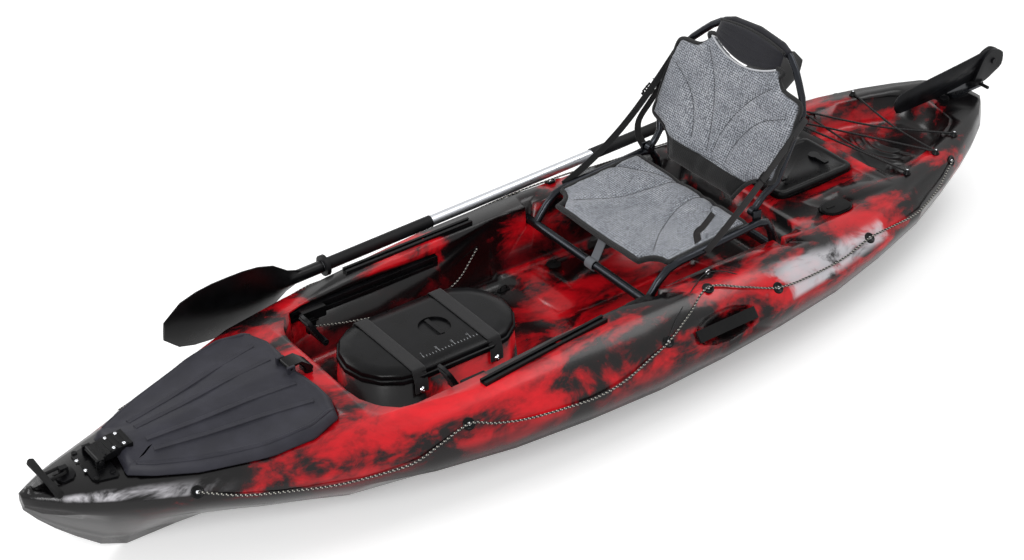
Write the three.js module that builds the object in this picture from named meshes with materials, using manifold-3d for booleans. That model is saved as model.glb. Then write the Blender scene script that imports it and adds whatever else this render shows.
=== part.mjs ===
// Sit-on-top fishing kayak with a framed mesh seat, hatches, foot braces, flip-up rudder and paddle.
// Millimetres. X runs forward along the keel, Y to port, Z up. The origin is on the keel, mid-length.
import * as THREE from 'three'
import { mergeVertices } from 'three/addons/utils/BufferGeometryUtils.js'
import Module from 'manifold-3d'

const wasm = await Module()
wasm.setup()

// Overall hull sizes
const LENGTH = 3050
const BEAM = 880
const DECK_HEIGHT = 297
const WALL = 5
const KEEL_HALF = 45
const SIDE_BAND = 66
const GAP = 0.3
const FINEST = 0.02
const SKY = 700
const OVERRUN = 20

// Footwell, console, seat well and tank well
const FOOTWELL_FRONT = 735
const FOOTWELL_AFT = -60
const FOOTWELL_HALF = 266
const FOOTWELL_FRONT_HALF = 175
const FOOTWELL_BEND_SHARE = 0.91
const FOOTWELL_FLOOR = 105
const FOOTWELL_DRAFT = 30
const FLOOR_FILLET = 16
const CONSOLE_X = 412
const CONSOLE_LENGTH = 484
const CONSOLE_HALF = 137
const CONSOLE_TOP = 223
const CONSOLE_DRAFT = 14
const CONSOLE_LIP = 26
const SEATWELL_AFT = -640
const SEATWELL_FRONT = 60
const SEATWELL_HALF = 266
const SEATWELL_AFT_HALF = 246
const SEATWELL_FLOOR = 120
const SEAT_LEDGE = 239
const NOTCH_HALF = 282
const NOTCH_WIDTH = 32
const CHANNEL_HALF = 24
const CHANNEL_AFT = -470
const TANK_FRONT = -1000
const TANK_AFT = -1378
const TANK_HALF = 190
const TANK_AFT_HALF = 96
const TANK_FLOOR = 236
const TANK_RAMP = 30
const TANK_RIB_WIDTH = 10
const TANK_RIB_HEIGHT = 8
const SCUPPER_RADIUS = 14
const SCUPPER_PLACES = [[-150, 206], [-1120, 110], [120, 200]]

// Bow hatch
const HATCH_FRONT = 1306
const HATCH_AFT = 784
const HATCH_HALF = 234
const HATCH_TIP_HALF = 74
const HATCH_NOTCH = 16
const HATCH_RIM = 22
const HATCH_SKIN = 4
const HATCH_RISE = 24
const HATCH_RIM_RISE = 9
const HATCH_RIDGE = 5
const HATCH_SEAL = 4
const HATCH_SEAL_WIDTH = 12
const HATCH_CORNER = 46
const HATCH_RIB_SHARES = [0.26, 0.6]
const HINGE_PIN_X = 1340
const HINGE_PIN_RADIUS = 3
const HINGE_PIN_RISE = 17
const HINGE_STRAP_HALF = 31
const HINGE_STRAP_THICK = 6
const HINGE_RIBS = 5
const HINGE_BASE_HALF = 76
const LATCH_WIDTH = 44
const LATCH_LENGTH = 56
const LATCH_THICK = 7

// Bow toggle and its deck fitting
const TOGGLE_X = 1462
const TOGGLE_LENGTH = 156
const TOGGLE_RADIUS = 11
const TOGGLE_FITTING_X = 1416
const TOGGLE_LINK_RADIUS = 4
const BOW_PLUG_X = 1503
const BOW_PLUG_RADIUS = 12

// Accessory rails and foot braces
const RAIL_AFT_X = 70
const RAIL_FRONT_X = 457
const RAIL_AFT_Y = 288
const RAIL_FRONT_Y = 306
const RAIL_WIDTH = 24
const RAIL_HEIGHT = 11
const RAIL_SLOT = 9
const RAIL_SLOT_DEPTH = 6
const FOOT_RAIL_AFT = 200
const FOOT_RAIL_FRONT = 660
const FOOT_RAIL_Z = 242
const FOOT_RAIL_HEIGHT = 30
const FOOT_RAIL_DEPTH = 14
const FOOT_RAIL_WALL_Y = 270
const CARRIAGE_LENGTH = 70
const CARRIAGE_DEPTH = 20
const PEDAL_PORT_X = 440
const PEDAL_STARBOARD_X = 596
const PEDAL_WIDTH = 62
const PEDAL_HEIGHT = 92
const PEDAL_THICK = 9
const PEDAL_RIBS = 7
const PEDAL_LEAN = 0.5

// Console lid, knob and straps
const POD_RIM_HEIGHT = 12
const POD_RIM_WIDTH = 30
const POD_LID_HEIGHT = 14
const POD_LID_BEVEL = 5
const POD_KNOB_X = 388
const POD_KNOB_RADIUS = 42
const POD_KNOB_DEPTH = 9
const POD_KNOB_BAR = 12
const STRAP_WIDTH = 38
const STRAP_THICK = 3
const STRAP_SPREAD = 114
const STRAP_DROP = 34

// Seat
const BAR_RADIUS = 12.5
const BAR_FRONT_X = -110
const BAR_REAR_X = -548
const BAR_HALF = 280
const BOLT_RADIUS = 4
const SIDE_TUBE_Y = 236
const SIDE_FRONT_X = -172
const SIDE_REAR_X = -520
const SIDE_FRONT_Z = 330
const SIDE_REAR_Z = 352
const PAN_THICK = 24
const PAN_CUTOUT = 56
const PAN_CROWN = 9
const BACK_PIVOT_X = -486
const BACK_PIVOT_Z = 372
const BACK_TUBE_RADIUS = 10
const BACK_HEIGHT = 430
const BACK_HALF = 238
const BACK_LEAN = 0.4
const BACK_PAD_THICK = 24
const BACK_CROWN = 9
const PIPING_LOW = 335
const PIPING_RISE = 34
const HEAD_TOP = 424
const HEAD_HALF = 128
const HEAD_THICK = 8
const SIDE_STRAP_WIDTH = 25
const SIDE_STRAP_THICK = 3
const STRAP_LOW_PORT = -296
const STRAP_LOW_STARBOARD = -212
const STRAP_SAG_PORT = 12
const STRAP_SAG_STARBOARD = 42

// Rear hatch and rod holders
const REAR_HATCH_X = -832
const REAR_HATCH_LENGTH = 282
const REAR_HATCH_WIDTH = 204
const REAR_HATCH_CORNER = 30
const REAR_FRAME_WIDTH = 22
const REAR_FRAME_HEIGHT = 8
const REAR_LID_HEIGHT = 14
const REAR_LATCH_RADIUS = 16
const REAR_LATCH_ARM = 52
const REAR_LATCH_HEIGHT = 9
const ROD_X = -792
const ROD_Y = 216
const ROD_BORE = 21
const ROD_WALL = 3
const ROD_DEPTH = 150
const ROD_TILT = 0.42
const ROD_FLANGE_LENGTH = 100
const ROD_FLANGE_WIDTH = 64
const ROD_FLANGE_THICK = 6
const ROD_CAP_THICK = 5

// Carry handles, deck lines and bungees
const HANDLE_X = -232
const HANDLE_SHARE = 0.77
const HANDLE_LENGTH = 168
const HANDLE_FOOT = 14
const HANDLE_WIDTH = 32
const HANDLE_THICK = 9
const HANDLE_RISE = 8
const DISH_LENGTH = 214
const DISH_WIDTH = 92
const DISH_DEPTH = 24
const LINE_RADIUS = 2.5
const LINE_LIFT = 2
const LINE_STEPS = 44
const LINE_INWARD = 40
const LINE_DROP = 60
const EYELET_RADIUS = 13
const EYELET_HEIGHT = 4
const PAD_EYE_X = 22
const PAD_EYE_Y = 204
const BUNGEE_RADIUS = 3
const BUNGEE_SAG = 14
const PAD_EYE_RADIUS = 11
const PAD_EYE_HEIGHT = 13

// Rudder
const STEER_X = -1552
const STEER_PIN_RADIUS = 6
const BRACKET_FRONT = -1440
const BRACKET_HALF = 26
const BRACKET_THICK = 8
const YOKE_RADIUS = 24
const YOKE_THICK = 10
const TEE_HALF = 56
const TEE_RADIUS = 5
const BLADE_PIVOT_X = -1612
const BLADE_PIVOT_RISE = 58
const BLADE_THICK = 8
const BLADE_ROOT = 38
const BLADE_LENGTH = 396
const BLADE_TIP = 36
const BLADE_DROP = 0.085
const CHEEK_THICK = 9
const CHEEK_RADIUS = 40
const PIVOT_PIN_RADIUS = 5

// Paddle
const PADDLE_Y = 394
const SHAFT_RADIUS = 15
const SHAFT_WALL = 1.6
const PADDLE_FRONT = 945
const PADDLE_REAR = -1225
const PADDLE_SLOPE = 0.03
const PADDLE_CLEARANCE = 1.5
const PADDLE_BLADE_LENGTH = 470
const PADDLE_BLADE_HALF = 105
const PADDLE_BLADE_THICK = 7
const PADDLE_LEAN = 0.25
const GRIP_LENGTH = 348
const GRIP_REAR_LENGTH = 330
const GRIP_RADIUS = 17
const DRIP_RADIUS = 29
const DRIP_WIDTH = 12

// Lengths that the shell is given in, from the stern, and where they meet
const SECTION_NAMES = ['hull_stern', 'hull_rear_deck', 'hull_seat_well', 'hull_footwell', 'hull_bow']
const SECTION_CUTS = [-1020, -548, -110, 742]

// Shares of the half length, each with a share of the half beam, of the deck height or of one
const BREADTH_SHARES = [[-1, 0.13], [-0.978, 0.215], [-0.95, 0.295], [-0.9, 0.4], [-0.82, 0.535], [-0.623, 0.784],
  [-0.328, 0.945], [0, 1],
  [0.295, 0.925], [0.557, 0.745], [0.7, 0.56], [0.787, 0.43], [0.885, 0.27], [0.957, 0.145], [1, 0.03]]
const DECK_SHARES = [[-1, 1.045], [-0.97, 1.06], [-0.9, 1.045], [-0.8, 1.012], [-0.7, 0.97], [-0.6, 0.925], [-0.5, 0.915],
  [-0.35, 0.96], [-0.2, 0.993], [0, 1], [0.15, 0.987], [0.3, 0.933], [0.42, 0.895], [0.52, 0.88],
  [0.6, 0.855], [0.7, 0.8], [0.8, 0.795], [0.9, 0.825], [1, 0.86]]
const CROWN_SHARES = [[-1, 0.006], [-0.7, 0.008], [0, 0.007], [0.42, 0.02], [0.52, 0.07], [0.7, 0.125],
  [0.82, 0.115], [0.9, 0.075], [1, 0.015]]
const RUB_SHARES = [[-1, 0.94], [-0.9, 0.9], [-0.8, 0.855], [-0.6, 0.78], [-0.3, 0.7], [0, 0.66], [0.3, 0.653], [0.6, 0.68],
  [0.8, 0.72], [1, 0.8]]
const KEEL_SHARES = [[-1, 0.7], [-0.985, 0.52], [-0.96, 0.3], [-0.92, 0.11], [-0.86, 0], [0.845, 0],
  [0.887, 0.1], [0.918, 0.24], [0.948, 0.39], [0.976, 0.55], [1, 0.72]]
const RAIL_SHARES = [[-1, 0.9], [-0.85, 0.9], [-0.6, 0.85], [-0.3, 0.78], [0, 0.76], [0.3, 0.8], [0.5, 0.86], [0.8, 0.88],
  [1, 0.85]]
const BAND_SHARES = [[-1, 0.25], [-0.8, 0.45], [-0.6, 0.72], [-0.35, 1], [0.3, 1], [0.5, 0.75], [0.65, 0.5], [0.75, 0.38],
  [1, 0.4]]
const TUCK_SHARES = [[-1, 0.6], [-0.9, 0.72], [-0.75, 0.9], [-0.6, 1], [1, 1]]
const VEE_SHARES = [[-1, 0], [0.5, 0], [0.62, 0.4], [0.73, 0.95], [1, 1]]
const STATION_SHARES = [-1, -0.985, -0.95, -0.9, -0.84, -0.76, -0.66, -0.54, -0.42, -0.28, -0.14, 0, 0.14, 0.28,
  0.42, 0.54, 0.66, 0.76, 0.845, 0.887, 0.925, 0.955, 0.98, 1]
const SHELL_SHARES = [-0.95, -0.84, -0.75, -0.66, -0.6, -0.54, -0.48, -0.42, -0.14, 0.14, 0.42, 0.66, 0.76, 0.845, 0.925]

// Bottom of a section: breadth share, height share, then what each gains as the section turns to a vee
const BOTTOM_SHARES = [[0.22, 0.05, 0.02, 0.17], [0.34, 0, 0.04, 0.33], [0.43, 0, 0.13, 0.48],
  [0.54, 0.13, 0.22, 0.51], [0.77, 0.4, 0.13, 0.38]]
const KEEL_LIMIT_SHARE = 0.2
const BAND_LIMIT_SHARE = 0.36
const BAND_INSET_SHARE = 0.03
const SHOULDER_OUT_SHARE = 0.45
const SHOULDER_UP_SHARE = 0.63
const DECK_EDGE_SHARE = 0.82
const DECK_EDGE_RISE_SHARE = 0.35

// Smooth value of a table of shares, without overshoot
function along (table, share) {
  const last = table.length - 1
  if (share <= table[0][0]) return table[0][1]
  if (share >= table[last][0]) return table[last][1]
  const slope = i => (table[i + 1][1] - table[i][1]) / (table[i + 1][0] - table[i][0])
  const tangent = i => {
    if (i === 0) return slope(0)
    if (i === last) return slope(last - 1)
    const before = slope(i - 1)
    const after = slope(i)
    return before * after <= 0 ? 0 : 2 * before * after / (before + after)
  }
  const i = table.findIndex((row, k) => k < last && share < table[k + 1][0])
  const span = table[i + 1][0] - table[i][0]
  const t = (share - table[i][0]) / span
  const ease = t * t * (3 - 2 * t)
  const rise = tangent(i) * span * t * (1 - t) * (1 - t)
  const fall = tangent(i + 1) * span * t * t * (1 - t)
  return table[i][1] * (1 - ease) + table[i + 1][1] * ease + rise - fall
}

// Turn a geometry into a solid for cutting, and back
function toSolid (geometry) {
  const bare = new THREE.BufferGeometry()
  bare.setAttribute('position', geometry.attributes.position.clone())
  if (geometry.index) bare.setIndex(geometry.index.clone())
  const merged = mergeVertices(bare)
  const vertProperties = new Float32Array(merged.attributes.position.array)
  const triVerts = new Uint32Array(merged.index.array)
  return new wasm.Manifold(new wasm.Mesh({ numProp: 3, vertProperties, triVerts }))
}

function toGeometry (solid) {
  const mesh = solid.simplify(FINEST).getMesh()
  const geometry = new THREE.BufferGeometry()
  geometry.setAttribute('position', new THREE.BufferAttribute(new Float32Array(mesh.vertProperties), 3))
  geometry.setIndex(new THREE.BufferAttribute(new Uint32Array(mesh.triVerts), 1))
  return geometry
}

const joinSolids = list => list.reduce((a, b) => a.add(b))
const join = (...parts) => toGeometry(joinSolids(parts.map(toSolid)))
const cut = (body, ...tools) => toGeometry(tools.map(toSolid).reduce((a, b) => a.subtract(b), toSolid(body)))

// The port piece turned into its starboard twin
function mirrored (geometry) {
  const twin = geometry.index ? geometry.clone() : mergeVertices(onlyPositions(geometry))
  twin.scale(1, -1, 1)
  const index = Array.from(twin.index.array)
  for (let i = 0; i < index.length; i += 3) {
    const keep = index[i + 1]
    index[i + 1] = index[i + 2]
    index[i + 2] = keep
  }
  twin.setIndex(index)
  return twin
}

function onlyPositions (geometry) {
  const bare = new THREE.BufferGeometry()
  bare.setAttribute('position', geometry.attributes.position.clone())
  if (geometry.index) bare.setIndex(geometry.index.clone())
  return bare
}

// Close a stack of rings into one solid, with fans over both ends; a twin has its two sides faceted alike
function loft (rings, twin = false) {
  const count = rings[0].length
  const points = rings.flat()
  const faces = []
  for (let r = 0; r < rings.length - 1; r++) {
    for (let i = 0; i < count; i++) {
      const a = r * count + i
      const b = r * count + (i + 1) % count
      if (twin && i >= (count - 1) / 2) faces.push(a, b, a + count, b, b + count, a + count)
      else faces.push(a, b, b + count, a, b + count, a + count)
    }
  }
  const middle = ring => ring.reduce((sum, p) => sum.clone().add(p), new THREE.Vector3()).divideScalar(count)
  const top = (rings.length - 1) * count
  points.push(middle(rings[0]), middle(rings[rings.length - 1]))
  for (let i = 0; i < count; i++) {
    const next = (i + 1) % count
    faces.push(next, i, points.length - 2)
    faces.push(top + i, top + next, points.length - 1)
  }
  return facedOut(points, faces)
}

// A closed mesh whose volume comes out positive
function facedOut (points, faces) {
  let volume = 0
  for (let i = 0; i < faces.length; i += 3) {
    const [a, b, c] = [points[faces[i]], points[faces[i + 1]], points[faces[i + 2]]]
    volume += a.dot(b.clone().cross(c))
  }
  if (volume < 0) faces.reverse()
  const geometry = new THREE.BufferGeometry()
  geometry.setFromPoints(points)
  geometry.setIndex(faces)
  return geometry
}

// Offset a flat outline inwards, with mitred corners
function inset (outline, distance) {
  const count = outline.length
  let area = 0
  outline.forEach(([x, y], i) => {
    const [nx, ny] = outline[(i + 1) % count]
    area += x * ny - nx * y
  })
  const side = Math.sign(area)
  return outline.map(([x, y], i) => {
    const before = outline[(i + count - 1) % count]
    const after = outline[(i + 1) % count]
    const u = new THREE.Vector2(x - before[0], y - before[1]).normalize()
    const v = new THREE.Vector2(after[0] - x, after[1] - y).normalize()
    const normal = new THREE.Vector2(-(u.y + v.y), u.x + v.x).normalize()
    const mitre = Math.max(-normal.x * v.y + normal.y * v.x, 0.4)
    return [x + side * normal.x * distance / mitre, y + side * normal.y * distance / mitre]
  })
}

// Round every corner of an outline
function rounded (corners, radius, steps = 3) {
  const points = []
  corners.forEach(([x, y], i) => {
    const corner = new THREE.Vector2(x, y)
    const before = new THREE.Vector2(...corners[(i + corners.length - 1) % corners.length])
    const after = new THREE.Vector2(...corners[(i + 1) % corners.length])
    const back = Math.min(radius, corner.distanceTo(before) * 0.45)
    const ahead = Math.min(radius, corner.distanceTo(after) * 0.45)
    const start = corner.clone().lerp(before, back / corner.distanceTo(before))
    const end = corner.clone().lerp(after, ahead / corner.distanceTo(after))
    const curve = new THREE.QuadraticBezierCurve(start, corner, end)
    curve.getPoints(steps).forEach(p => points.push([p.x, p.y]))
  })
  return points
}

// A port half outline, listed from aft to front, closed over the centreline
const bothSides = half => [...half, ...half.slice().reverse().filter(([, y]) => y > 0).map(([x, y]) => [x, -y])]
const level = (outline, z) => outline.map(([x, y]) => new THREE.Vector3(x, y, z))
const shapeOf = outline => new THREE.Shape(outline.map(([x, y]) => new THREE.Vector2(x, y)))

function prism (outline, bottom, top) {
  return loft([level(outline, bottom), level(outline, top)])
}

function stadium (x, y, length, half, steps = 8) {
  const points = []
  const reach = length / 2 - half
  for (let i = 0; i <= steps; i++) {
    const a = -Math.PI / 2 + Math.PI * i / steps
    points.push([x + reach + half * Math.cos(a), y + half * Math.sin(a)])
  }
  for (let i = 0; i <= steps; i++) {
    const a = Math.PI / 2 + Math.PI * i / steps
    points.push([x - reach + half * Math.cos(a), y + half * Math.sin(a)])
  }
  return points
}

function rectangle (x, y, length, width, radius, steps = 3) {
  const [a, b] = [length / 2, width / 2]
  return rounded([[x - a, y - b], [x + a, y - b], [x + a, y + b], [x - a, y + b]], radius, steps)
}

function block (x, y, z, length, width, height) {
  return new THREE.BoxGeometry(length, width, height).translate(x, y, z)
}

function rod (from, to, radius, sides = 12) {
  const a = new THREE.Vector3(...from)
  const b = new THREE.Vector3(...to)
  const geometry = new THREE.CylinderGeometry(radius, radius, a.distanceTo(b), sides)
  const turn = new THREE.Quaternion().setFromUnitVectors(new THREE.Vector3(0, 1, 0), b.clone().sub(a).normalize())
  geometry.applyQuaternion(turn)
  const centre = a.add(b).multiplyScalar(0.5)
  return geometry.translate(centre.x, centre.y, centre.z)
}

// A round tube or cord through points, with its corners rounded
function tube (points, radius, bend = 0, sides = 8, steps = 3) {
  const corners = points.map(p => new THREE.Vector3(...p))
  const path = []
  corners.forEach((corner, i) => {
    if (i === 0 || i === corners.length - 1 || bend === 0) {
      path.push(corner)
      return
    }
    const back = Math.min(bend, corner.distanceTo(corners[i - 1]) * 0.45)
    const ahead = Math.min(bend, corner.distanceTo(corners[i + 1]) * 0.45)
    const start = corner.clone().lerp(corners[i - 1], back / corner.distanceTo(corners[i - 1]))
    const end = corner.clone().lerp(corners[i + 1], ahead / corner.distanceTo(corners[i + 1]))
    path.push(...new THREE.QuadraticBezierCurve3(start, corner, end).getPoints(steps))
  })
  return sweep(path, sides, () => [radius, radius])
}

// Rings of an oval section carried along a path
function sweep (path, sides, size) {
  let across = null
  const rings = path.map((point, i) => {
    const before = path[Math.max(i - 1, 0)]
    const after = path[Math.min(i + 1, path.length - 1)]
    const ahead = after.clone().sub(before).normalize()
    if (!across) across = Math.abs(ahead.z) > 0.9 ? new THREE.Vector3(0, 1, 0) : new THREE.Vector3(0, 0, 1)
    across = across.clone().addScaledVector(ahead, -across.dot(ahead)).normalize()
    const other = ahead.clone().cross(across)
    const [rise, width] = size(i / (path.length - 1))
    return Array.from({ length: sides }, (_, k) => {
      const a = 2 * Math.PI * (k + 0.5) / sides
      return point.clone().addScaledVector(across, rise * Math.cos(a)).addScaledVector(other, width * Math.sin(a))
    })
  })
  return loft(rings)
}

// Stand a piece that was drawn flat, base on z = 0, on a point with a given upward and forward direction
function stand (geometry, point, up, ahead) {
  const z = up.clone().normalize()
  const x = ahead.clone().addScaledVector(z, -ahead.dot(z)).normalize()
  const matrix = new THREE.Matrix4().makeBasis(x, z.clone().cross(x), z)
  return geometry.applyMatrix4(matrix.setPosition(point))
}

// Hull form
const shareOf = x => 2 * x / LENGTH
const breadth = x => along(BREADTH_SHARES, shareOf(x)) * BEAM / 2
const deckEdge = x => along(DECK_SHARES, shareOf(x)) * DECK_HEIGHT
const crown = x => along(CROWN_SHARES, shareOf(x)) * DECK_HEIGHT
const rubLine = x => along(RUB_SHARES, shareOf(x)) * DECK_HEIGHT
const railEdge = x => along(RAIL_SHARES, shareOf(x)) * breadth(x)

// Height of the flat band below the rub line
function bandDepth (x) {
  const keel = along(KEEL_SHARES, shareOf(x)) * DECK_HEIGHT
  return Math.min(SIDE_BAND * along(BAND_SHARES, shareOf(x)), (rubLine(x) - keel) * BAND_LIMIT_SHARE)
}

// Half of a cross section, from the keel out to the rub line and in over the deck
function halfSection (x) {
  const keel = along(KEEL_SHARES, shareOf(x)) * DECK_HEIGHT
  const vee = along(VEE_SHARES, shareOf(x))
  const b = breadth(x)
  const rub = rubLine(x)
  const depth = rub - keel
  const edge = railEdge(x)
  const band = bandDepth(x)
  const tuck = along(TUCK_SHARES, shareOf(x))
  const half = [[Math.min(KEEL_HALF, b * KEEL_LIMIT_SHARE) * (1 - 0.8 * vee), keel]]
  BOTTOM_SHARES.forEach(([out, up, outVee, upVee]) => {
    half.push([b * (out + outVee * vee) * tuck, keel + depth * (up + upVee * vee)])
  })
  half.push([b * (1 - BAND_INSET_SHARE), rub - band])
  half.push([b, rub])
  half.push([edge + (b - edge) * SHOULDER_OUT_SHARE, rub + (deckEdge(x) - rub) * SHOULDER_UP_SHARE])
  half.push([edge, deckEdge(x)])
  half.push([edge * DECK_EDGE_SHARE, deckEdge(x) + crown(x) * DECK_EDGE_RISE_SHARE])
  return half
}

function hullLoft (shares, thickness) {
  return loft(shares.map(share => {
    const x = share * LENGTH / 2
    const half = halfSection(x)
    const ring = [...half, [0, deckEdge(x) + crown(x)], ...half.slice().reverse().map(([y, z]) => [-y, z])]
    return inset(ring, thickness).map(([y, z]) => new THREE.Vector3(x, y, z))
  }), true)
}

// Height of the closed deck skin above a point
function deckZ (x, y) {
  const half = halfSection(x)
  const profile = [...half.slice(-4), [0, deckEdge(x) + crown(x)]]
  const reach = Math.abs(y)
  for (let i = 0; i < profile.length - 1; i++) {
    const [outerY, outerZ] = profile[i]
    const [innerY, innerZ] = profile[i + 1]
    if (reach >= innerY || i === profile.length - 2) {
      return innerZ + (outerZ - innerZ) * (reach - innerY) / (outerY - innerY)
    }
  }
}

// A place on the port side, from the deck edge (0) over the rub line (1) to the foot of the band (2)
function shoulder (x, share) {
  if (share > 1) {
    const b = breadth(x)
    const down = share - 1
    const turn = (breadth(x + OVERRUN) - breadth(x - OVERRUN)) / (2 * OVERRUN)
    return { point: new THREE.Vector3(x, b * (1 - BAND_INSET_SHARE * down), rubLine(x) - bandDepth(x) * down),
      up: new THREE.Vector3(-turn, 1, 0).normalize() }
  }
  const y = railEdge(x) + (breadth(x) - railEdge(x)) * share
  const step = OVERRUN
  const slope = (deckZ(x, y + 1) - deckZ(x, y - 1)) / 2
  const run = (deckZ(x + step, y) - deckZ(x - step, y)) / (2 * step)
  return { point: new THREE.Vector3(x, y, deckZ(x, y)), up: new THREE.Vector3(-run, -slope, 1).normalize() }
}

// How far the flats of an eight-sided tube stand out, as a share of its radius
const FLAT_SHARE = Math.cos(Math.PI / 8)
const AHEAD = new THREE.Vector3(1, 0, 0)
const hullSkin = toSolid(hullLoft(STATION_SHARES, 0))
const hullRaised = lift => hullSkin.translate([0, 0, lift])

// Trim the underside of a fitting to the deck it stands on
function onDeck (geometry, lift = GAP) {
  return toGeometry(toSolid(geometry).subtract(hullRaised(lift)))
}

// A sheet of even thickness that follows the deck under an outline
function deckPlate (outline, thickness, lift = GAP) {
  const column = toSolid(prism(outline, 0, SKY))
  return column.intersect(hullRaised(lift + thickness)).subtract(hullRaised(lift))
}

// A tub sunk into the deck, larger all round by grow
function tub (corners, floor, brim, draft, radius, grow, fillet = 0) {
  const plain = grow > 0
  const ring = (z, distance) => {
    const outline = inset(corners, distance - grow)
    return level(rounded(outline, plain ? radius / 2 : radius, plain ? 1 : 2), z)
  }
  if (plain) return toSolid(loft([ring(floor - grow, draft), ring(brim, 0), ring(SKY, 0)]))
  const rings = [ring(floor - grow, draft + fillet)]
  if (fillet > 0) rings.push(ring(floor - grow + fillet * 0.3, draft + fillet * 0.3))
  if (fillet > 0) rings.push(ring(floor - grow + fillet, draft))
  rings.push(ring(brim, 0), ring(SKY, 0))
  return toSolid(loft(rings))
}

function consoleIsland (shrink) {
  const steps = shrink > 0 ? 5 : 8
  const outline = (extra, z) => level(stadium(CONSOLE_X, 0, CONSOLE_LENGTH + 2 * extra, CONSOLE_HALF + extra, steps), z)
  const base = CONSOLE_DRAFT - shrink
  return toSolid(loft([outline(base, FOOTWELL_FLOOR - OVERRUN), outline(-shrink, CONSOLE_TOP - shrink)]))
}

function footwell (grow) {
  const corners = bothSides([[FOOTWELL_AFT, FOOTWELL_HALF], [FOOTWELL_FRONT * 0.6, FOOTWELL_HALF + FLOOR_FILLET * 0.4],
    [FOOTWELL_FRONT * FOOTWELL_BEND_SHARE, FOOTWELL_HALF], [FOOTWELL_FRONT, FOOTWELL_FRONT_HALF]])
  const brim = DECK_HEIGHT
  return tub(corners, FOOTWELL_FLOOR, brim, FOOTWELL_DRAFT, 46, grow, FLOOR_FILLET).subtract(consoleIsland(grow))
}

function seatWell (grow) {
  const lower = bothSides([[SEATWELL_AFT, SEATWELL_AFT_HALF], [SEATWELL_FRONT, SEATWELL_HALF]])
  const channel = bothSides([[CHANNEL_AFT, CHANNEL_HALF], [0, CHANNEL_HALF]])
  const notches = [BAR_FRONT_X, BAR_REAR_X].map(x => {
    const half = NOTCH_WIDTH / 2
    return tub(bothSides([[x - half, NOTCH_HALF], [x + half, NOTCH_HALF]]), SEAT_LEDGE, DECK_HEIGHT, 0, 6, grow)
  })
  return joinSolids([
    tub(lower, SEATWELL_FLOOR, DECK_HEIGHT, FLOOR_FILLET * 0.7, 40, grow, FLOOR_FILLET),
    tub(channel, FOOTWELL_FLOOR, DECK_HEIGHT, 0, 10, grow),
    ...notches
  ])
}

function tankWell (grow) {
  const corners = bothSides([[TANK_AFT, TANK_AFT_HALF], [TANK_FRONT - 180, TANK_HALF * 0.94], [TANK_FRONT, TANK_HALF]])
  return tub(corners, TANK_FLOOR, DECK_HEIGHT, TANK_RAMP, 60, grow, FLOOR_FILLET)
}

// Curved drain ribs on the floor of the tank well
function tankRibs () {
  const ribs = []
  for (let i = 0; i < 3; i++) {
    const radius = 70 + i * 34
    const path = Array.from({ length: 7 }, (_, k) => {
      const a = -0.9 + 1.8 * k / 6
      return new THREE.Vector3(TANK_FRONT - 250 + radius * Math.cos(a), radius * Math.sin(a), TANK_FLOOR)
    })
    ribs.push(toSolid(sweep(path, 4, () => [TANK_RIB_HEIGHT, TANK_RIB_WIDTH * 0.7])))
  }
  return joinSolids(ribs)
}

function scuppers (grow) {
  const tubes = SCUPPER_PLACES.map(([x, y]) => {
    const drill = rod([x, y, -OVERRUN], [x, y, TANK_FLOOR + OVERRUN], SCUPPER_RADIUS + grow, grow > 0 ? 6 : 8)
    return toSolid(drill).add(toSolid(mirrored(drill)))
  })
  return joinSolids(tubes)
}

// Pockets that seat the foot brace rails against the footwell walls
function footRailPockets (grow) {
  const length = FOOT_RAIL_FRONT - FOOT_RAIL_AFT + 2 * (GAP + grow)
  const depth = FOOT_RAIL_WALL_Y - FOOTWELL_FRONT_HALF
  const pocket = block((FOOT_RAIL_FRONT + FOOT_RAIL_AFT) / 2, FOOT_RAIL_WALL_Y - depth / 2 + grow, FOOT_RAIL_Z,
    length, depth, FOOT_RAIL_HEIGHT + 2 * (GAP + grow) + RAIL_HEIGHT)
  return toSolid(pocket).add(toSolid(mirrored(pocket)))
}

// Shallow oval dishes in the shoulders, behind the carry handles
function handleDishes (grow) {
  const place = shoulder(HANDLE_X, HANDLE_SHARE)
  const dish = grow > 0 ? new THREE.SphereGeometry(1, 8, 4) : new THREE.SphereGeometry(1, 12, 6)
  const more = 2 * grow
  dish.scale(DISH_LENGTH / 2 + more, DISH_WIDTH / 2 + more, DISH_DEPTH + grow).rotateX(Math.PI / 2)
  dish.scale(1, (DISH_WIDTH / 2 + more) / (DISH_DEPTH + grow), (DISH_DEPTH + grow) / (DISH_WIDTH / 2 + more))
  stand(dish, place.point, place.up, AHEAD)
  return toSolid(dish).add(toSolid(mirrored(dish)))
}

const HATCH_MIDDLE = (HATCH_AFT + HATCH_FRONT) / 2

// Bow hatch outline, port half, from the aft edge to the notch at the hinge
function hatchCorners () {
  const run = HATCH_FRONT - HATCH_AFT
  return bothSides([
    [HATCH_AFT + HATCH_NOTCH, HATCH_HALF * 0.13],
    [HATCH_AFT, HATCH_HALF * 0.22],
    [HATCH_AFT, HATCH_HALF * 0.8],
    [HATCH_AFT + run * 0.1, HATCH_HALF * 0.99],
    [HATCH_MIDDLE - run * 0.2, HATCH_HALF],
    [HATCH_MIDDLE + run * 0.05, HATCH_HALF * 0.83],
    [HATCH_MIDDLE + run * 0.3, HATCH_HALF * 0.62],
    [HATCH_FRONT - HATCH_NOTCH, HATCH_TIP_HALF * 1.25],
    [HATCH_FRONT, HATCH_TIP_HALF],
    [HATCH_FRONT - HATCH_NOTCH, HATCH_TIP_HALF * 0.8]
  ])
}

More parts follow.
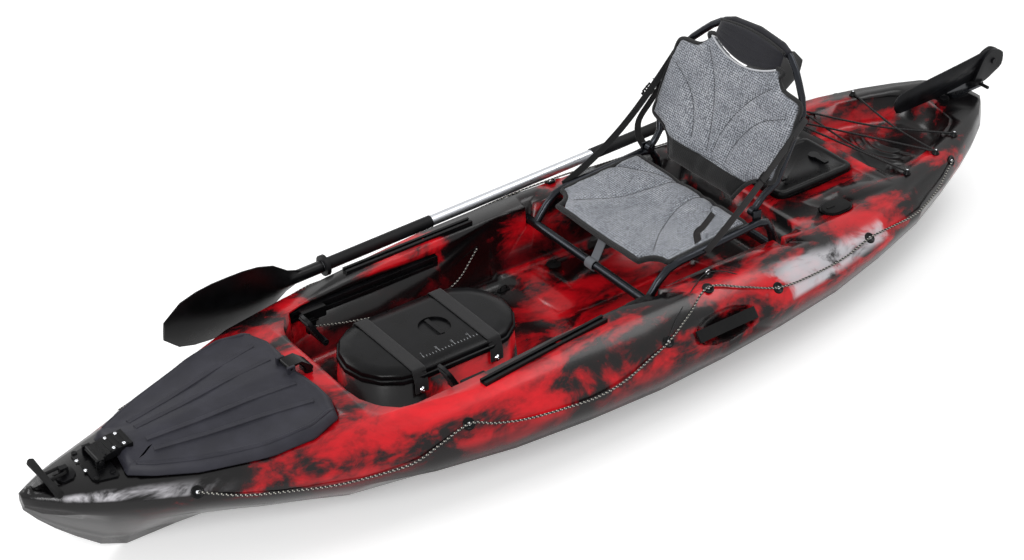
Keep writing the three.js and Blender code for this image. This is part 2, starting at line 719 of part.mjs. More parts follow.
const hatchOutline = distance => rounded(inset(hatchCorners(), distance), HATCH_CORNER, 1)
const drawnIn = (outline, share) => outline.map(([x, y]) => [HATCH_MIDDLE + (x - HATCH_MIDDLE) * (0.4 + 0.6 * share), y * share])
const draped = (outline, rise) => outline.map(([x, y]) => new THREE.Vector3(x, y, deckZ(x, y) + rise))

function hatchBlank () {
  const border = hatchOutline(HATCH_RIM * 1.5)
  return toSolid(loft([
    draped(hatchOutline(0), -OVERRUN),
    draped(hatchOutline(0), HATCH_RIM_RISE),
    draped(hatchOutline(HATCH_RIM * 0.45), HATCH_RISE),
    draped(hatchOutline(HATCH_RIM), HATCH_RISE + HATCH_RIDGE),
    draped(border, HATCH_RISE),
    draped(drawnIn(border, 0.62), HATCH_RISE),
    draped(drawnIn(border, 0.25), HATCH_RISE)
  ]))
}

// The hollow under the lid, plainer than its top
function hatchHollow () {
  const border = inset(hatchCorners(), HATCH_RIM * 2.6)
  const rise = HATCH_RISE - HATCH_SKIN
  const foot = inset(hatchCorners(), HATCH_RIM * 1.4)
  return toSolid(loft([
    draped(foot, -OVERRUN),
    draped(foot, HATCH_RIM_RISE),
    draped(border, rise),
    draped(drawnIn(border, 0.55), rise)
  ]))
}

// Stiffening ribs that run fore and aft over the lid
function hatchRibs () {
  const ribs = []
  for (const share of HATCH_RIB_SHARES) {
    for (const side of [-1, 1]) {
      const path = [0, 0.33, 0.67, 1].map(t => {
        const x = HATCH_AFT + HATCH_RIM * 2.2 + (HATCH_MIDDLE * 1.16 - HATCH_AFT - HATCH_RIM * 2) * t
        const y = side * HATCH_HALF * share * (1 - 0.55 * t)
        return new THREE.Vector3(x, y, deckZ(x, y) + HATCH_RISE - 1)
      })
      ribs.push(toSolid(sweep(path, 4, () => [HATCH_RIDGE, HATCH_RIDGE * 2])))
    }
  }
  return joinSolids(ribs)
}

const hatchTop = x => deckZ(x, 0) + HATCH_RISE
const HINGE_PIN_Z = deckZ(HINGE_PIN_X, 0) + HINGE_PIN_RISE
const LATCH_PIVOT_X = HATCH_AFT + HATCH_NOTCH + HATCH_RIM
const LATCH_PIVOT_Z = hatchTop(LATCH_PIVOT_X) + HATCH_RIDGE + LATCH_THICK
const EAR = 7

function bowHatchLid () {
  const shell = hatchBlank().add(hatchRibs()).subtract(hatchHollow()).subtract(hullRaised(HATCH_SEAL + 2 * GAP))
  const earZ = (LATCH_PIVOT_Z + hatchTop(LATCH_PIVOT_X)) / 2
  const ears = [-1, 1].map(side => toSolid(block(LATCH_PIVOT_X, side * (LATCH_WIDTH / 2 + GAP + EAR / 2), earZ,
    3 * EAR, EAR, LATCH_PIVOT_Z - hatchTop(LATCH_PIVOT_X) + 2 * EAR)))
  const bore = toSolid(rod([LATCH_PIVOT_X, -LATCH_WIDTH, LATCH_PIVOT_Z], [LATCH_PIVOT_X, LATCH_WIDTH, LATCH_PIVOT_Z],
    HINGE_PIN_RADIUS + GAP))
  return toGeometry(joinSolids([shell, ...ears]).subtract(bore))
}

function bowHatchSeal () {
  const edge = 2 * GAP + HATCH_SEAL
  const inside = prism(hatchOutline(edge + HATCH_SEAL_WIDTH), -OVERRUN, SKY + OVERRUN)
  return toGeometry(deckPlate(hatchOutline(edge), HATCH_SEAL).subtract(toSolid(inside)))
}

// Ribbed hinge plate that joins the lid to the pin
function bowHingeStrap () {
  const aft = HATCH_FRONT - 3.4 * HATCH_NOTCH
  const high = hatchTop(aft) + HINGE_STRAP_THICK + GAP
  const low = HINGE_PIN_Z + HINGE_PIN_RADIUS
  const side = shapeOf([[aft, high - 3 * HINGE_STRAP_THICK], [aft, high], [HATCH_FRONT - HATCH_NOTCH, high - 1],
    [HINGE_PIN_X, low + 2], [HINGE_PIN_X, low - 2 * HINGE_STRAP_THICK]])
  const plate = new THREE.ExtrudeGeometry(side, { depth: 2 * HINGE_STRAP_HALF, bevelEnabled: false })
  plate.rotateX(Math.PI / 2).translate(0, HINGE_STRAP_HALF, 0)
  const knuckle = rod([HINGE_PIN_X, -HINGE_STRAP_HALF, HINGE_PIN_Z], [HINGE_PIN_X, HINGE_STRAP_HALF, HINGE_PIN_Z],
    HINGE_PIN_RADIUS * 2.4, 12)
  const ribs = []
  for (let i = 0; i < HINGE_RIBS; i++) {
    const share = (i + 0.7) / (HINGE_RIBS + 1)
    const x = aft + (HINGE_PIN_X - aft) * share
    const z = x < HATCH_FRONT - HATCH_NOTCH ? high - 1 : high - 1 + (low + 2 - high) * (x - HATCH_FRONT + HATCH_NOTCH) /
      (HINGE_PIN_X - HATCH_FRONT + HATCH_NOTCH)
    ribs.push(block(x, 0, z, HINGE_STRAP_THICK * 0.8, 2 * HINGE_STRAP_HALF - EAR, HINGE_STRAP_THICK * 0.8))
  }
  const bore = rod([HINGE_PIN_X, -HINGE_BASE_HALF, HINGE_PIN_Z], [HINGE_PIN_X, HINGE_BASE_HALF, HINGE_PIN_Z],
    HINGE_PIN_RADIUS + GAP)
  const body = toSolid(join(plate, knuckle, ...ribs)).subtract(toSolid(bore))
  return toGeometry(body.subtract(hatchBlank().translate([0, 0, GAP])).subtract(hullRaised(2 * GAP + 6)))
}

function bowHingeBase () {
  const front = HINGE_PIN_X + 32
  const aft = HATCH_FRONT + 5
  const outline = rounded([[aft, -HINGE_BASE_HALF], [front, -HINGE_BASE_HALF * 0.8], [front, HINGE_BASE_HALF * 0.8],
    [aft, HINGE_BASE_HALF]], EAR, 1)
  const parts = [deckPlate(outline, 5)]
  const earHeight = HINGE_PIN_Z - deckZ(HINGE_PIN_X, 0) + 2 * EAR
  for (const side of [-1, 1]) {
    const y = side * (HINGE_STRAP_HALF + GAP + EAR / 2)
    parts.push(toSolid(block(HINGE_PIN_X, y, HINGE_PIN_Z + EAR - earHeight / 2, 3 * EAR, EAR, earHeight)))
    for (const x of [aft + EAR + EAR / 2, front - EAR - EAR / 2]) {
      const out = side * HINGE_BASE_HALF * 0.76
      parts.push(toSolid(rod([x, out, deckZ(x, out)], [x, out, deckZ(x, out) + EAR * 1.3], EAR, 6)))
    }
  }
  const reach = HINGE_STRAP_HALF + GAP + EAR + GAP * 3
  const pin = rod([HINGE_PIN_X, -reach, HINGE_PIN_Z], [HINGE_PIN_X, reach, HINGE_PIN_Z], HINGE_PIN_RADIUS, 10)
  const head = rod([HINGE_PIN_X, reach - GAP, HINGE_PIN_Z], [HINGE_PIN_X, reach + 3, HINGE_PIN_Z], 2 * HINGE_PIN_RADIUS, 10)
  return toGeometry(joinSolids(parts).subtract(hullRaised(GAP)).add(toSolid(pin)).add(toSolid(head)))
}

const LATCH_NOSE_X = LATCH_PIVOT_X - LATCH_LENGTH
const CATCH_TOP = deckZ(LATCH_NOSE_X, 0) + 12

function bowLatchLever () {
  const half = LATCH_WIDTH / 2
  const pivot = rod([LATCH_PIVOT_X, -half - EAR, LATCH_PIVOT_Z], [LATCH_PIVOT_X, half + EAR, LATCH_PIVOT_Z], HINGE_PIN_RADIUS, 10)
  const hub = rod([LATCH_PIVOT_X, -half, LATCH_PIVOT_Z], [LATCH_PIVOT_X, half, LATCH_PIVOT_Z], LATCH_THICK * 0.8, 12)
  const drop = LATCH_PIVOT_Z - CATCH_TOP - GAP
  const profile = new THREE.Shape([
    new THREE.Vector2(0, LATCH_THICK * 0.8),
    new THREE.Vector2(-LATCH_LENGTH * 0.6, LATCH_THICK * 0.9),
    new THREE.Vector2(-LATCH_LENGTH - 8, -drop + LATCH_THICK),
    new THREE.Vector2(-LATCH_LENGTH - 8, -drop),
    new THREE.Vector2(-LATCH_LENGTH + 8, -drop),
    new THREE.Vector2(-LATCH_LENGTH * 0.58, LATCH_THICK * 0.1),
    new THREE.Vector2(0, -LATCH_THICK * 0.1)
  ])
  const plate = new THREE.ExtrudeGeometry(profile, { depth: 2 * half, bevelEnabled: false })
  plate.rotateX(Math.PI / 2).translate(LATCH_PIVOT_X, half, LATCH_PIVOT_Z)
  return join(plate, hub, pivot)
}

function bowLatchCatch () {
  const outline = rectangle(LATCH_NOSE_X, 0, 22, LATCH_WIDTH * 0.8, 6, 2)
  return onDeck(prism(outline, deckZ(LATCH_NOSE_X, 0) - OVERRUN, CATCH_TOP))
}

// Rubber toggle on a link that swings in the deck fitting
const TOGGLE_Z = deckZ(TOGGLE_X, 0) + TOGGLE_RADIUS + 1
const FITTING_EYE_Z = deckZ(TOGGLE_FITTING_X, 0) + 13

function bowToggle () {
  const half = TOGGLE_LENGTH / 2
  const profile = [[0, -half], [0.7, -half], [1, -half * 0.93], [0.92, -half * 0.6], [0.8, -half * 0.2], [0.8, half * 0.2],
    [0.92, half * 0.6], [1, half * 0.93], [0.7, half], [0, half]]
  const grip = new THREE.LatheGeometry(profile.map(([r, y]) => new THREE.Vector2(r * TOGGLE_RADIUS, y)), 8)
  grip.translate(TOGGLE_X, 0, TOGGLE_Z)
  const side = TOGGLE_LINK_RADIUS * 3.4
  const link = tube([[TOGGLE_X, -side, TOGGLE_Z], [TOGGLE_FITTING_X, -side, FITTING_EYE_Z],
    [TOGGLE_FITTING_X, side, FITTING_EYE_Z], [TOGGLE_X, side, TOGGLE_Z]], TOGGLE_LINK_RADIUS, 6, 6, 2)
  return join(grip, link)
}

function bowToggleFitting () {
  const base = deckPlate(rectangle(TOGGLE_FITTING_X, 0, 46, 52, 12, 1), 5)
  const hump = block(TOGGLE_FITTING_X, 0, FITTING_EYE_Z - 4, 20, TOGGLE_LINK_RADIUS * 3.6, 24)
  const bore = rod([TOGGLE_FITTING_X, -OVERRUN, FITTING_EYE_Z], [TOGGLE_FITTING_X, OVERRUN, FITTING_EYE_Z],
    TOGGLE_LINK_RADIUS + GAP)
  return toGeometry(base.add(toSolid(hump).subtract(hullRaised(GAP))).subtract(toSolid(bore)))
}

// Drain plug at the tip of the bow
function bowPlug () {
  const ring = (radius, z) => [radius, deckZ(BOW_PLUG_X, 0) + z]
  const profile = [ring(0, -WALL), ring(BOW_PLUG_RADIUS, -WALL), ring(BOW_PLUG_RADIUS, 3),
    ring(BOW_PLUG_RADIUS * 0.6, 4), ring(BOW_PLUG_RADIUS * 0.6, 8), ring(0, 9)]
  const plug = new THREE.LatheGeometry(profile.map(([r, z]) => new THREE.Vector2(r, z)), 12)
  return plug.rotateX(Math.PI / 2).translate(BOW_PLUG_X, 0, 0)
}

// T-slot rail set along the gunwale
function accessoryRail () {
  const aft = new THREE.Vector3(RAIL_AFT_X, RAIL_AFT_Y, deckZ(RAIL_AFT_X, RAIL_AFT_Y))
  const front = new THREE.Vector3(RAIL_FRONT_X, RAIL_FRONT_Y, deckZ(RAIL_FRONT_X, RAIL_FRONT_Y))
  const half = RAIL_WIDTH / 2
  const slot = RAIL_SLOT / 2
  const lip = RAIL_HEIGHT - 3
  const section = shapeOf([[-half, -OVERRUN], [half, -OVERRUN], [half, RAIL_HEIGHT], [slot, RAIL_HEIGHT], [slot, lip],
    [slot * 1.7, lip], [slot * 1.7, lip - RAIL_SLOT_DEPTH * 0.6], [-slot * 1.7, lip - RAIL_SLOT_DEPTH * 0.6],
    [-slot * 1.7, lip], [-slot, lip], [-slot, RAIL_HEIGHT], [-half, RAIL_HEIGHT]])
  const length = aft.distanceTo(front)
  const bar = new THREE.ExtrudeGeometry(section, { depth: length, bevelEnabled: false })
  const along3 = front.clone().sub(aft).normalize()
  const up = new THREE.Vector3(0, 0, 1).addScaledVector(along3, -along3.z).normalize()
  const side = up.clone().cross(along3)
  bar.applyMatrix4(new THREE.Matrix4().makeBasis(side, up, along3).setPosition(aft))
  return onDeck(bar)
}

function footRail () {
  const y = FOOT_RAIL_WALL_Y - GAP - FOOT_RAIL_DEPTH / 2
  const length = FOOT_RAIL_FRONT - FOOT_RAIL_AFT
  const bar = block((FOOT_RAIL_FRONT + FOOT_RAIL_AFT) / 2, y, FOOT_RAIL_Z, length, FOOT_RAIL_DEPTH, FOOT_RAIL_HEIGHT)
  const groove = block((FOOT_RAIL_FRONT + FOOT_RAIL_AFT) / 2, y - FOOT_RAIL_DEPTH * 0.35, FOOT_RAIL_Z,
    length - 2 * FOOT_RAIL_DEPTH, FOOT_RAIL_DEPTH, FOOT_RAIL_HEIGHT * 0.34)
  return cut(bar, groove)
}

// Carriage that runs in the groove of the foot rail and carries the pedal on an arm
function pedalCarriage (x) {
  const face = FOOT_RAIL_WALL_Y - 2 * GAP - FOOT_RAIL_DEPTH
  const body = block(x, face - CARRIAGE_DEPTH / 2, FOOT_RAIL_Z, CARRIAGE_LENGTH, CARRIAGE_DEPTH, FOOT_RAIL_HEIGHT)
  const tongue = block(x, face + FOOT_RAIL_DEPTH * 0.2 - GAP, FOOT_RAIL_Z, CARRIAGE_LENGTH * 0.9, FOOT_RAIL_DEPTH * 0.7,
    FOOT_RAIL_HEIGHT * 0.34 - 2 * GAP)
  const arm = block(x + CARRIAGE_LENGTH * 0.2, face - CARRIAGE_DEPTH * 1.1, FOOT_RAIL_Z - FOOT_RAIL_HEIGHT * 0.9,
    CARRIAGE_LENGTH * 0.34, CARRIAGE_DEPTH * 0.7, FOOT_RAIL_HEIGHT * 1.3)
  const axle = rod([pedalAxleX(x), ARM_INSIDE + CARRIAGE_DEPTH * 0.4, PEDAL_AXLE_Z],
    [pedalAxleX(x), ARM_INSIDE - PEDAL_WIDTH - EAR, PEDAL_AXLE_Z], 4, 10)
  return join(body, tongue, arm, axle)
}

const PEDAL_AXLE_Z = FOOT_RAIL_Z - FOOT_RAIL_HEIGHT * 1.35
const pedalAxleX = x => x + CARRIAGE_LENGTH * 0.2
const ARM_INSIDE = FOOT_RAIL_WALL_Y - 2 * GAP - FOOT_RAIL_DEPTH - CARRIAGE_DEPTH * 1.45

// Ribbed foot plate that tilts about the axle at its foot
function pedal (x) {
  const outer = ARM_INSIDE - 2
  const middle = outer - PEDAL_WIDTH / 2
  const outline = rounded([[-PEDAL_WIDTH / 2, 0], [PEDAL_WIDTH / 2, 0], [PEDAL_WIDTH * 0.42, PEDAL_HEIGHT],
    [-PEDAL_WIDTH * 0.42, PEDAL_HEIGHT]], PEDAL_WIDTH * 0.3, 3)
  const plate = new THREE.ExtrudeGeometry(shapeOf(outline), { depth: PEDAL_THICK, bevelEnabled: false })
  const parts = [plate]
  for (let i = 0; i < PEDAL_RIBS; i++) {
    const y = PEDAL_HEIGHT * (i + 1.6) / (PEDAL_RIBS + 1.8)
    parts.push(block(0, y, PEDAL_THICK, PEDAL_WIDTH * 0.7, PEDAL_THICK * 0.4, PEDAL_THICK * 0.8))
  }
  const body = join(...parts)
  const basis = new THREE.Matrix4().makeBasis(new THREE.Vector3(0, 1, 0), new THREE.Vector3(Math.sin(PEDAL_LEAN), 0,
    Math.cos(PEDAL_LEAN)), new THREE.Vector3(Math.cos(PEDAL_LEAN), 0, -Math.sin(PEDAL_LEAN)))
  body.applyMatrix4(basis)
  body.translate(pedalAxleX(x) - PEDAL_THICK / 2, middle, PEDAL_AXLE_Z)
  const hub = rod([pedalAxleX(x), middle - PEDAL_WIDTH / 2, PEDAL_AXLE_Z],
    [pedalAxleX(x), middle + PEDAL_WIDTH / 2, PEDAL_AXLE_Z], PEDAL_THICK, 12)
  const bore = rod([pedalAxleX(x), middle - PEDAL_WIDTH, PEDAL_AXLE_Z], [pedalAxleX(x), middle + PEDAL_WIDTH, PEDAL_AXLE_Z],
    4 + GAP, 10)
  return cut(join(body, hub), bore)
}

// Console rim, lid, knob and straps
const podOutline = extra => stadium(CONSOLE_X, 0, CONSOLE_LENGTH + 2 * extra, CONSOLE_HALF + extra)
const POD_RIM_TOP = CONSOLE_TOP + GAP + POD_RIM_HEIGHT
const POD_LID_TOP = POD_RIM_TOP + GAP + POD_LID_HEIGHT

function podRim () {
  const skirt = EAR * 0.6
  const body = loft([level(podOutline(skirt), CONSOLE_TOP + GAP), level(podOutline(skirt), POD_RIM_TOP - 2),
    level(podOutline(skirt - 2), POD_RIM_TOP)])
  return cut(body, prism(podOutline(skirt - POD_RIM_WIDTH), CONSOLE_TOP - OVERRUN, POD_RIM_TOP + OVERRUN))
}

function podLid () {
  const base = POD_RIM_TOP + GAP
  const body = loft([
    level(podOutline(-1), base),
    level(podOutline(-1), POD_LID_TOP - POD_LID_BEVEL),
    level(podOutline(-1 - POD_LID_BEVEL), POD_LID_TOP),
    level(podOutline(-8 * POD_LID_BEVEL), POD_LID_TOP + 2)
  ])
  const hollow = loft([
    level(podOutline(-POD_RIM_WIDTH), base - 1),
    level(podOutline(-POD_RIM_WIDTH - POD_LID_BEVEL), POD_LID_TOP - POD_KNOB_DEPTH - 3)
  ])
  const recess = new THREE.CylinderGeometry(POD_KNOB_RADIUS + GAP, POD_KNOB_RADIUS + GAP, 2 * POD_KNOB_DEPTH, 24)
  recess.rotateX(Math.PI / 2).translate(POD_KNOB_X, 0, POD_LID_TOP + 1)
  return cut(body, hollow, recess)
}

function podKnob () {
  const floor = POD_LID_TOP + 1 - POD_KNOB_DEPTH + GAP
  const disc = new THREE.CylinderGeometry(POD_KNOB_RADIUS, POD_KNOB_RADIUS, 3, 24)
  disc.rotateX(Math.PI / 2).translate(POD_KNOB_X, 0, floor + 1.5)
  const bar = block(POD_KNOB_X, 0, floor + POD_KNOB_DEPTH / 2, POD_KNOB_BAR, 2 * POD_KNOB_RADIUS - 10, POD_KNOB_DEPTH)
  return join(disc, bar)
}

// Webbing strap over the lid, bolted to the side of the console below it
function podStrap (x) {
  const wrap = distance => {
    const half = CONSOLE_HALF + EAR * 0.6 + distance
    const top = POD_LID_TOP + 2 + distance
    const rim = POD_RIM_TOP + GAP
    return [[half + 2, CONSOLE_TOP - STRAP_DROP], [half, rim], [half - EAR, top - 2], [half - 3 * EAR, top]]
  }
  const across = half => [...half, ...half.slice().reverse().map(([y, z]) => [-y, z])]
  const band = shapeOf([...across(wrap(GAP + STRAP_THICK)), ...across(wrap(GAP)).reverse()])
  const body = new THREE.ExtrudeGeometry(band, { depth: STRAP_WIDTH, bevelEnabled: false })
  body.applyMatrix4(new THREE.Matrix4().makeBasis(new THREE.Vector3(0, 1, 0), new THREE.Vector3(0, 0, 1), AHEAD))
  body.translate(x - STRAP_WIDTH / 2, 0, 0)
  return body
}

function scupperPlug (x, y, floor) {
  const profile = [[0, -26], [SCUPPER_RADIUS - 3, -26], [SCUPPER_RADIUS * 0.93, 0], [SCUPPER_RADIUS + 7, GAP],
    [SCUPPER_RADIUS + 7, 3], [SCUPPER_RADIUS, 6], [5, 7], [5, 14], [0, 15]]
  const plug = new THREE.LatheGeometry(profile.map(([r, z]) => new THREE.Vector2(r, z)), 12)
  return plug.rotateX(Math.PI / 2).translate(x, y, floor)
}

function floorPadEye () {
  const [x, y, z] = [PAD_EYE_X, -PAD_EYE_Y, FOOTWELL_FLOOR + GAP]
  const base = prism(rectangle(x, y, 36, 16, 5, 2), z, z + 3)
  const loop = tube([[x - 11, y, z + 2], [x - 9, y, z + 14], [x + 9, y, z + 14], [x + 11, y, z + 2]], 2, 6, 8, 2)
  return join(base, loop)
}

// Seat base: one welded tube frame standing on the ledges of the seat well
const BAR_Z = SEAT_LEDGE + GAP + BAR_RADIUS
const sideZ = x => SIDE_FRONT_Z + (SIDE_REAR_Z - SIDE_FRONT_Z) * (x - SIDE_FRONT_X) / (SIDE_REAR_X - SIDE_FRONT_X)

function seatBaseFrame () {
  const parts = [
    rod([BAR_FRONT_X, -BAR_HALF, BAR_Z], [BAR_FRONT_X, BAR_HALF, BAR_Z], BAR_RADIUS, 12),
    rod([BAR_REAR_X, -BAR_HALF, BAR_Z], [BAR_REAR_X, BAR_HALF, BAR_Z], BAR_RADIUS, 12)
  ]
  for (const side of [-1, 1]) {
    const y = side * SIDE_TUBE_Y
    parts.push(tube([[BAR_FRONT_X, y, BAR_Z], [SIDE_FRONT_X, y, SIDE_FRONT_Z], [SIDE_REAR_X, y, SIDE_REAR_Z],
      [BAR_REAR_X, y, BAR_Z]], BAR_RADIUS * 0.9, 40, 8, 2))
    const ear = block(BACK_PIVOT_X, side * (SIDE_TUBE_Y - BAR_RADIUS * 0.6), BACK_PIVOT_Z - EAR, 4 * EAR, 4, 5 * EAR)
    const bolt = rod([BACK_PIVOT_X, side * (SIDE_TUBE_Y - BAR_RADIUS * 0.6), BACK_PIVOT_Z],
      [BACK_PIVOT_X, side * (FOOT_Y - EAR * 1.6), BACK_PIVOT_Z], BOLT_RADIUS, 10)
    parts.push(ear, bolt)
  }
  return join(...parts)
}

// Sling pad of the seat, quarter round at its front corners, crowned and quilted between its seams
function seatPan () {
  const front = BAR_FRONT_X - 2 * BAR_RADIUS
  const aft = BACK_PIVOT_X + 34
  const half = SIDE_TUBE_Y - BAR_RADIUS * 0.9 * FLAT_SHARE - GAP
  const columns = 12
  const rows = 10
  const cutBack = y => {
    const into = Math.abs(y) - (half - PAN_CUTOUT)
    return into <= 0 ? 0 : PAN_CUTOUT * Math.sqrt(Math.max(0, 1 - ((PAN_CUTOUT - into) / PAN_CUTOUT) ** 2))
  }
  const seam = (u, v) => Math.min(1, Math.abs(Math.abs(v) - (0.25 + 0.45 * u * u)) / 0.09)
  const at = (i, j, upper) => {
    const v = -1 + 2 * j / columns
    const y = v * half
    const start = front - cutBack(y)
    const x = start + (aft - start) * i / rows
    const u = i / rows
    const swell = (1 - v ** 4) * (1 - (2 * u - 1) ** 4)
    const sag = -14 * (1 - v * v) * Math.sin(Math.PI * Math.min(1, u + 0.1))
    const quilt = PAN_CROWN * swell * (0.55 + 0.45 * seam(u, v))
    const rise = upper ? PAN_THICK * 0.35 + quilt : -PAN_THICK * 0.35 - PAN_CROWN * 0.3 * swell
    return new THREE.Vector3(x, y, sideZ(x) + BAR_RADIUS * 0.2 + sag + rise)
  }
  return quilted(at, rows, columns)
}

// Closed pad from an upper and a lower grid of points
function quilted (at, rows, columns) {
  const points = []
  const number = {}
  for (const upper of [true, false]) {
    for (let i = 0; i <= rows; i++) {
      for (let j = 0; j <= columns; j++) {
        number[`${upper} ${i} ${j}`] = points.length
        points.push(at(i, j, upper))
      }
    }
  }
  const faces = []
  const quad = (a, b, c, d) => faces.push(a, b, c, a, c, d)
  const up = (i, j) => number[`true ${i} ${j}`]
  const low = (i, j) => number[`false ${i} ${j}`]
  for (let i = 0; i < rows; i++) {
    for (let j = 0; j < columns; j++) {
      quad(up(i, j), up(i, j + 1), up(i + 1, j + 1), up(i + 1, j))
      quad(low(i, j), low(i + 1, j), low(i + 1, j + 1), low(i, j + 1))
    }
    quad(up(i, 0), up(i + 1, 0), low(i + 1, 0), low(i, 0))
    quad(up(i, columns), low(i, columns), low(i + 1, columns), up(i + 1, columns))
  }
  for (let j = 0; j < columns; j++) {
    quad(up(0, j), low(0, j), low(0, j + 1), up(0, j + 1))
    quad(up(rows, j), up(rows, j + 1), low(rows, j + 1), low(rows, j))
  }
  return facedOut(points, faces)
}

// Back tube: height shares up the reclined plane, each with a share of the half width
const BACK_SHARES = [[0.12, 0.9], [0.23, 1], [0.68, 1], [0.8, 0.84], [0.9, 0.67], [0.97, 0.46], [1, 0.2]]
const LOOP_SHARES = [0.12, 0.23, 0.45, 0.68, 0.76, 0.83, 0.89, 0.94, 0.98]
const backPoint = (up, y, out) => new THREE.Vector3(
  BACK_PIVOT_X - up * Math.sin(BACK_LEAN) + out * Math.cos(BACK_LEAN), y,
  BACK_PIVOT_Z + up * Math.cos(BACK_LEAN) + out * Math.sin(BACK_LEAN))
const BACK_TUBE_OUT = -BACK_PAD_THICK * 0.3 - 3 * GAP - BACK_TUBE_RADIUS * FLAT_SHARE
const FOOT_Y = SIDE_TUBE_Y - BAR_RADIUS - 12

function seatBackFrame () {
  const half = [[FOOT_Y, 0], [FOOT_Y, 0.06 * BACK_HEIGHT],
    ...LOOP_SHARES.map(share => [along(BACK_SHARES, share) * BACK_HALF, share * BACK_HEIGHT])]
  const loop = [...half, [0, BACK_HEIGHT], ...half.slice().reverse().map(([y, up]) => [-y, up])]
  const out = up => BACK_TUBE_OUT * Math.min(1, up / (0.12 * BACK_HEIGHT))
  const path = loop.map(([y, up]) => backPoint(up, y, out(up)))
  const parts = [toSolid(sweep(path, 8, () => [BACK_TUBE_RADIUS, BACK_TUBE_RADIUS]))]
  const bores = []
  for (const s of [-1, 1]) {
    const at = y => [BACK_PIVOT_X, s * y, BACK_PIVOT_Z]
    parts.push(toSolid(rod(at(FOOT_Y - 8), at(FOOT_Y + 8), BACK_TUBE_RADIUS * 1.3, 12)))
    bores.push(toSolid(rod(at(FOOT_Y - 40), at(FOOT_Y + 40), BOLT_RADIUS + GAP, 10)))
  }
  return toGeometry(bores.reduce((a, b) => a.subtract(b), joinSolids(parts)))
}

// Padded mesh back: cut away round at its four corners, scooped under the piping, channels fanned from its foot
const PAD_ROWS = [0, 28, 56, 78, 96, 140, 190, 240, 285, 312, 324, PIPING_LOW + PIPING_RISE]
const PAD_HALVES = [[0, 128], [56, 160], [78, 188], [96, 240], [210, 250], [312, 236], [324, 168], [345, 138], [369, 126]]

function seatBackPad () {
  const rows = PAD_ROWS.length - 1
  const columns = 12
  const topRow = PAD_ROWS[rows]
  const fan = (up, v) => Math.abs(Math.abs(v) - (0.2 + 0.7 * up ** 2))
  const at = (i, j, front) => {
    const v = -1 + 2 * j / columns
    const scoop = PIPING_RISE * (1 - v * v) * Math.max(0, (PAD_ROWS[i] - 240) / (topRow - 240))
    const up = PAD_ROWS[i] - scoop
    const share = PAD_ROWS[i] / topRow
    const swell = (1 - v ** 4) * (1 - (2 * share - 1) ** 6)
    const quilt = BACK_CROWN * swell * (0.4 + 0.6 * Math.min(1, fan(share, v) / 0.12))
    const wrap = 14 * (1 - v * v) ** 2 * Math.sin(Math.PI * share)
    const out = front ? BACK_PAD_THICK * 0.4 + quilt - wrap : -BACK_PAD_THICK * 0.3 - wrap
    return backPoint(up, v * along(PAD_HALVES, PAD_ROWS[i]), out)
  }
  return quilted(at, rows, columns)
}

// Plain panel over the head of the back, its foot following the piping
function seatHeadPanel () {
  const at = (i, j, front) => {
    const v = -1 + 2 * j / 6
    const low = PIPING_LOW + PIPING_RISE * v * v + GAP * 3
    const up = low + (HEAD_TOP - 14 * v * v - low) * i / 2
    const half = HEAD_HALF - 6 * i
    return backPoint(up, v * half, front ? HEAD_THICK : -BACK_PAD_THICK * 0.3)
  }
  return quilted(at, 2, 6)
}

// Webbing from the edge of the back down to the side tube, slack enough to hang
function sideStrap (lowX, sag) {
  const top = backPoint(BACK_HEIGHT * 0.66, BACK_HALF + BACK_TUBE_RADIUS + 1.6 * SIDE_STRAP_THICK + GAP, BACK_TUBE_OUT)
  const low = new THREE.Vector3(lowX, SIDE_TUBE_Y + BAR_RADIUS * 0.9 * FLAT_SHARE + SIDE_STRAP_THICK / 2 + GAP, sideZ(lowX))
  const path = [0, 0.2, 0.4, 0.6, 0.8, 1].map(t => {
    const p = top.clone().lerp(low, t)
    p.z -= sag * Math.sin(Math.PI * t)
    return p
  })
  return sweep(path, 4, () => [SIDE_STRAP_WIDTH * 0.7, SIDE_STRAP_THICK * 0.7])
}

// Rear hatch
const REAR_DECK = deckZ(REAR_HATCH_X - REAR_HATCH_LENGTH / 2, REAR_HATCH_WIDTH / 2)
const REAR_SEAT = Math.min(REAR_DECK, deckZ(REAR_HATCH_X + REAR_HATCH_LENGTH / 2, REAR_HATCH_WIDTH / 2)) - 4
const rearOutline = extra => rectangle(REAR_HATCH_X, 0, REAR_HATCH_LENGTH + 2 * extra, REAR_HATCH_WIDTH + 2 * extra,
  REAR_HATCH_CORNER + extra)

function rearHatchSeat (grow) {
  return toSolid(prism(rearOutline(3 + grow), REAR_SEAT - grow, SKY))
}

function rearHatchFrame () {
  const body = prism(rearOutline(0), REAR_SEAT + GAP, REAR_SEAT + GAP + REAR_FRAME_HEIGHT)
  return cut(body, prism(rearOutline(-REAR_FRAME_WIDTH), REAR_SEAT - OVERRUN, REAR_SEAT + OVERRUN))
}

const REAR_LID_BASE = REAR_SEAT + 2 * GAP + REAR_FRAME_HEIGHT
const REAR_LID_TOP = REAR_LID_BASE + REAR_LID_HEIGHT

function rearHatchLid () {
  const body = loft([level(rearOutline(-1), REAR_LID_BASE), level(rearOutline(-1), REAR_LID_TOP - 4),
    level(rearOutline(-5), REAR_LID_TOP), level(rearOutline(-16), REAR_LID_TOP),
    level(rearOutline(-19), REAR_LID_TOP - 3)])
  const hollow = prism(rearOutline(-REAR_FRAME_WIDTH), REAR_LID_BASE - 1, REAR_LID_TOP - 7)
  return cut(body, hollow)
}

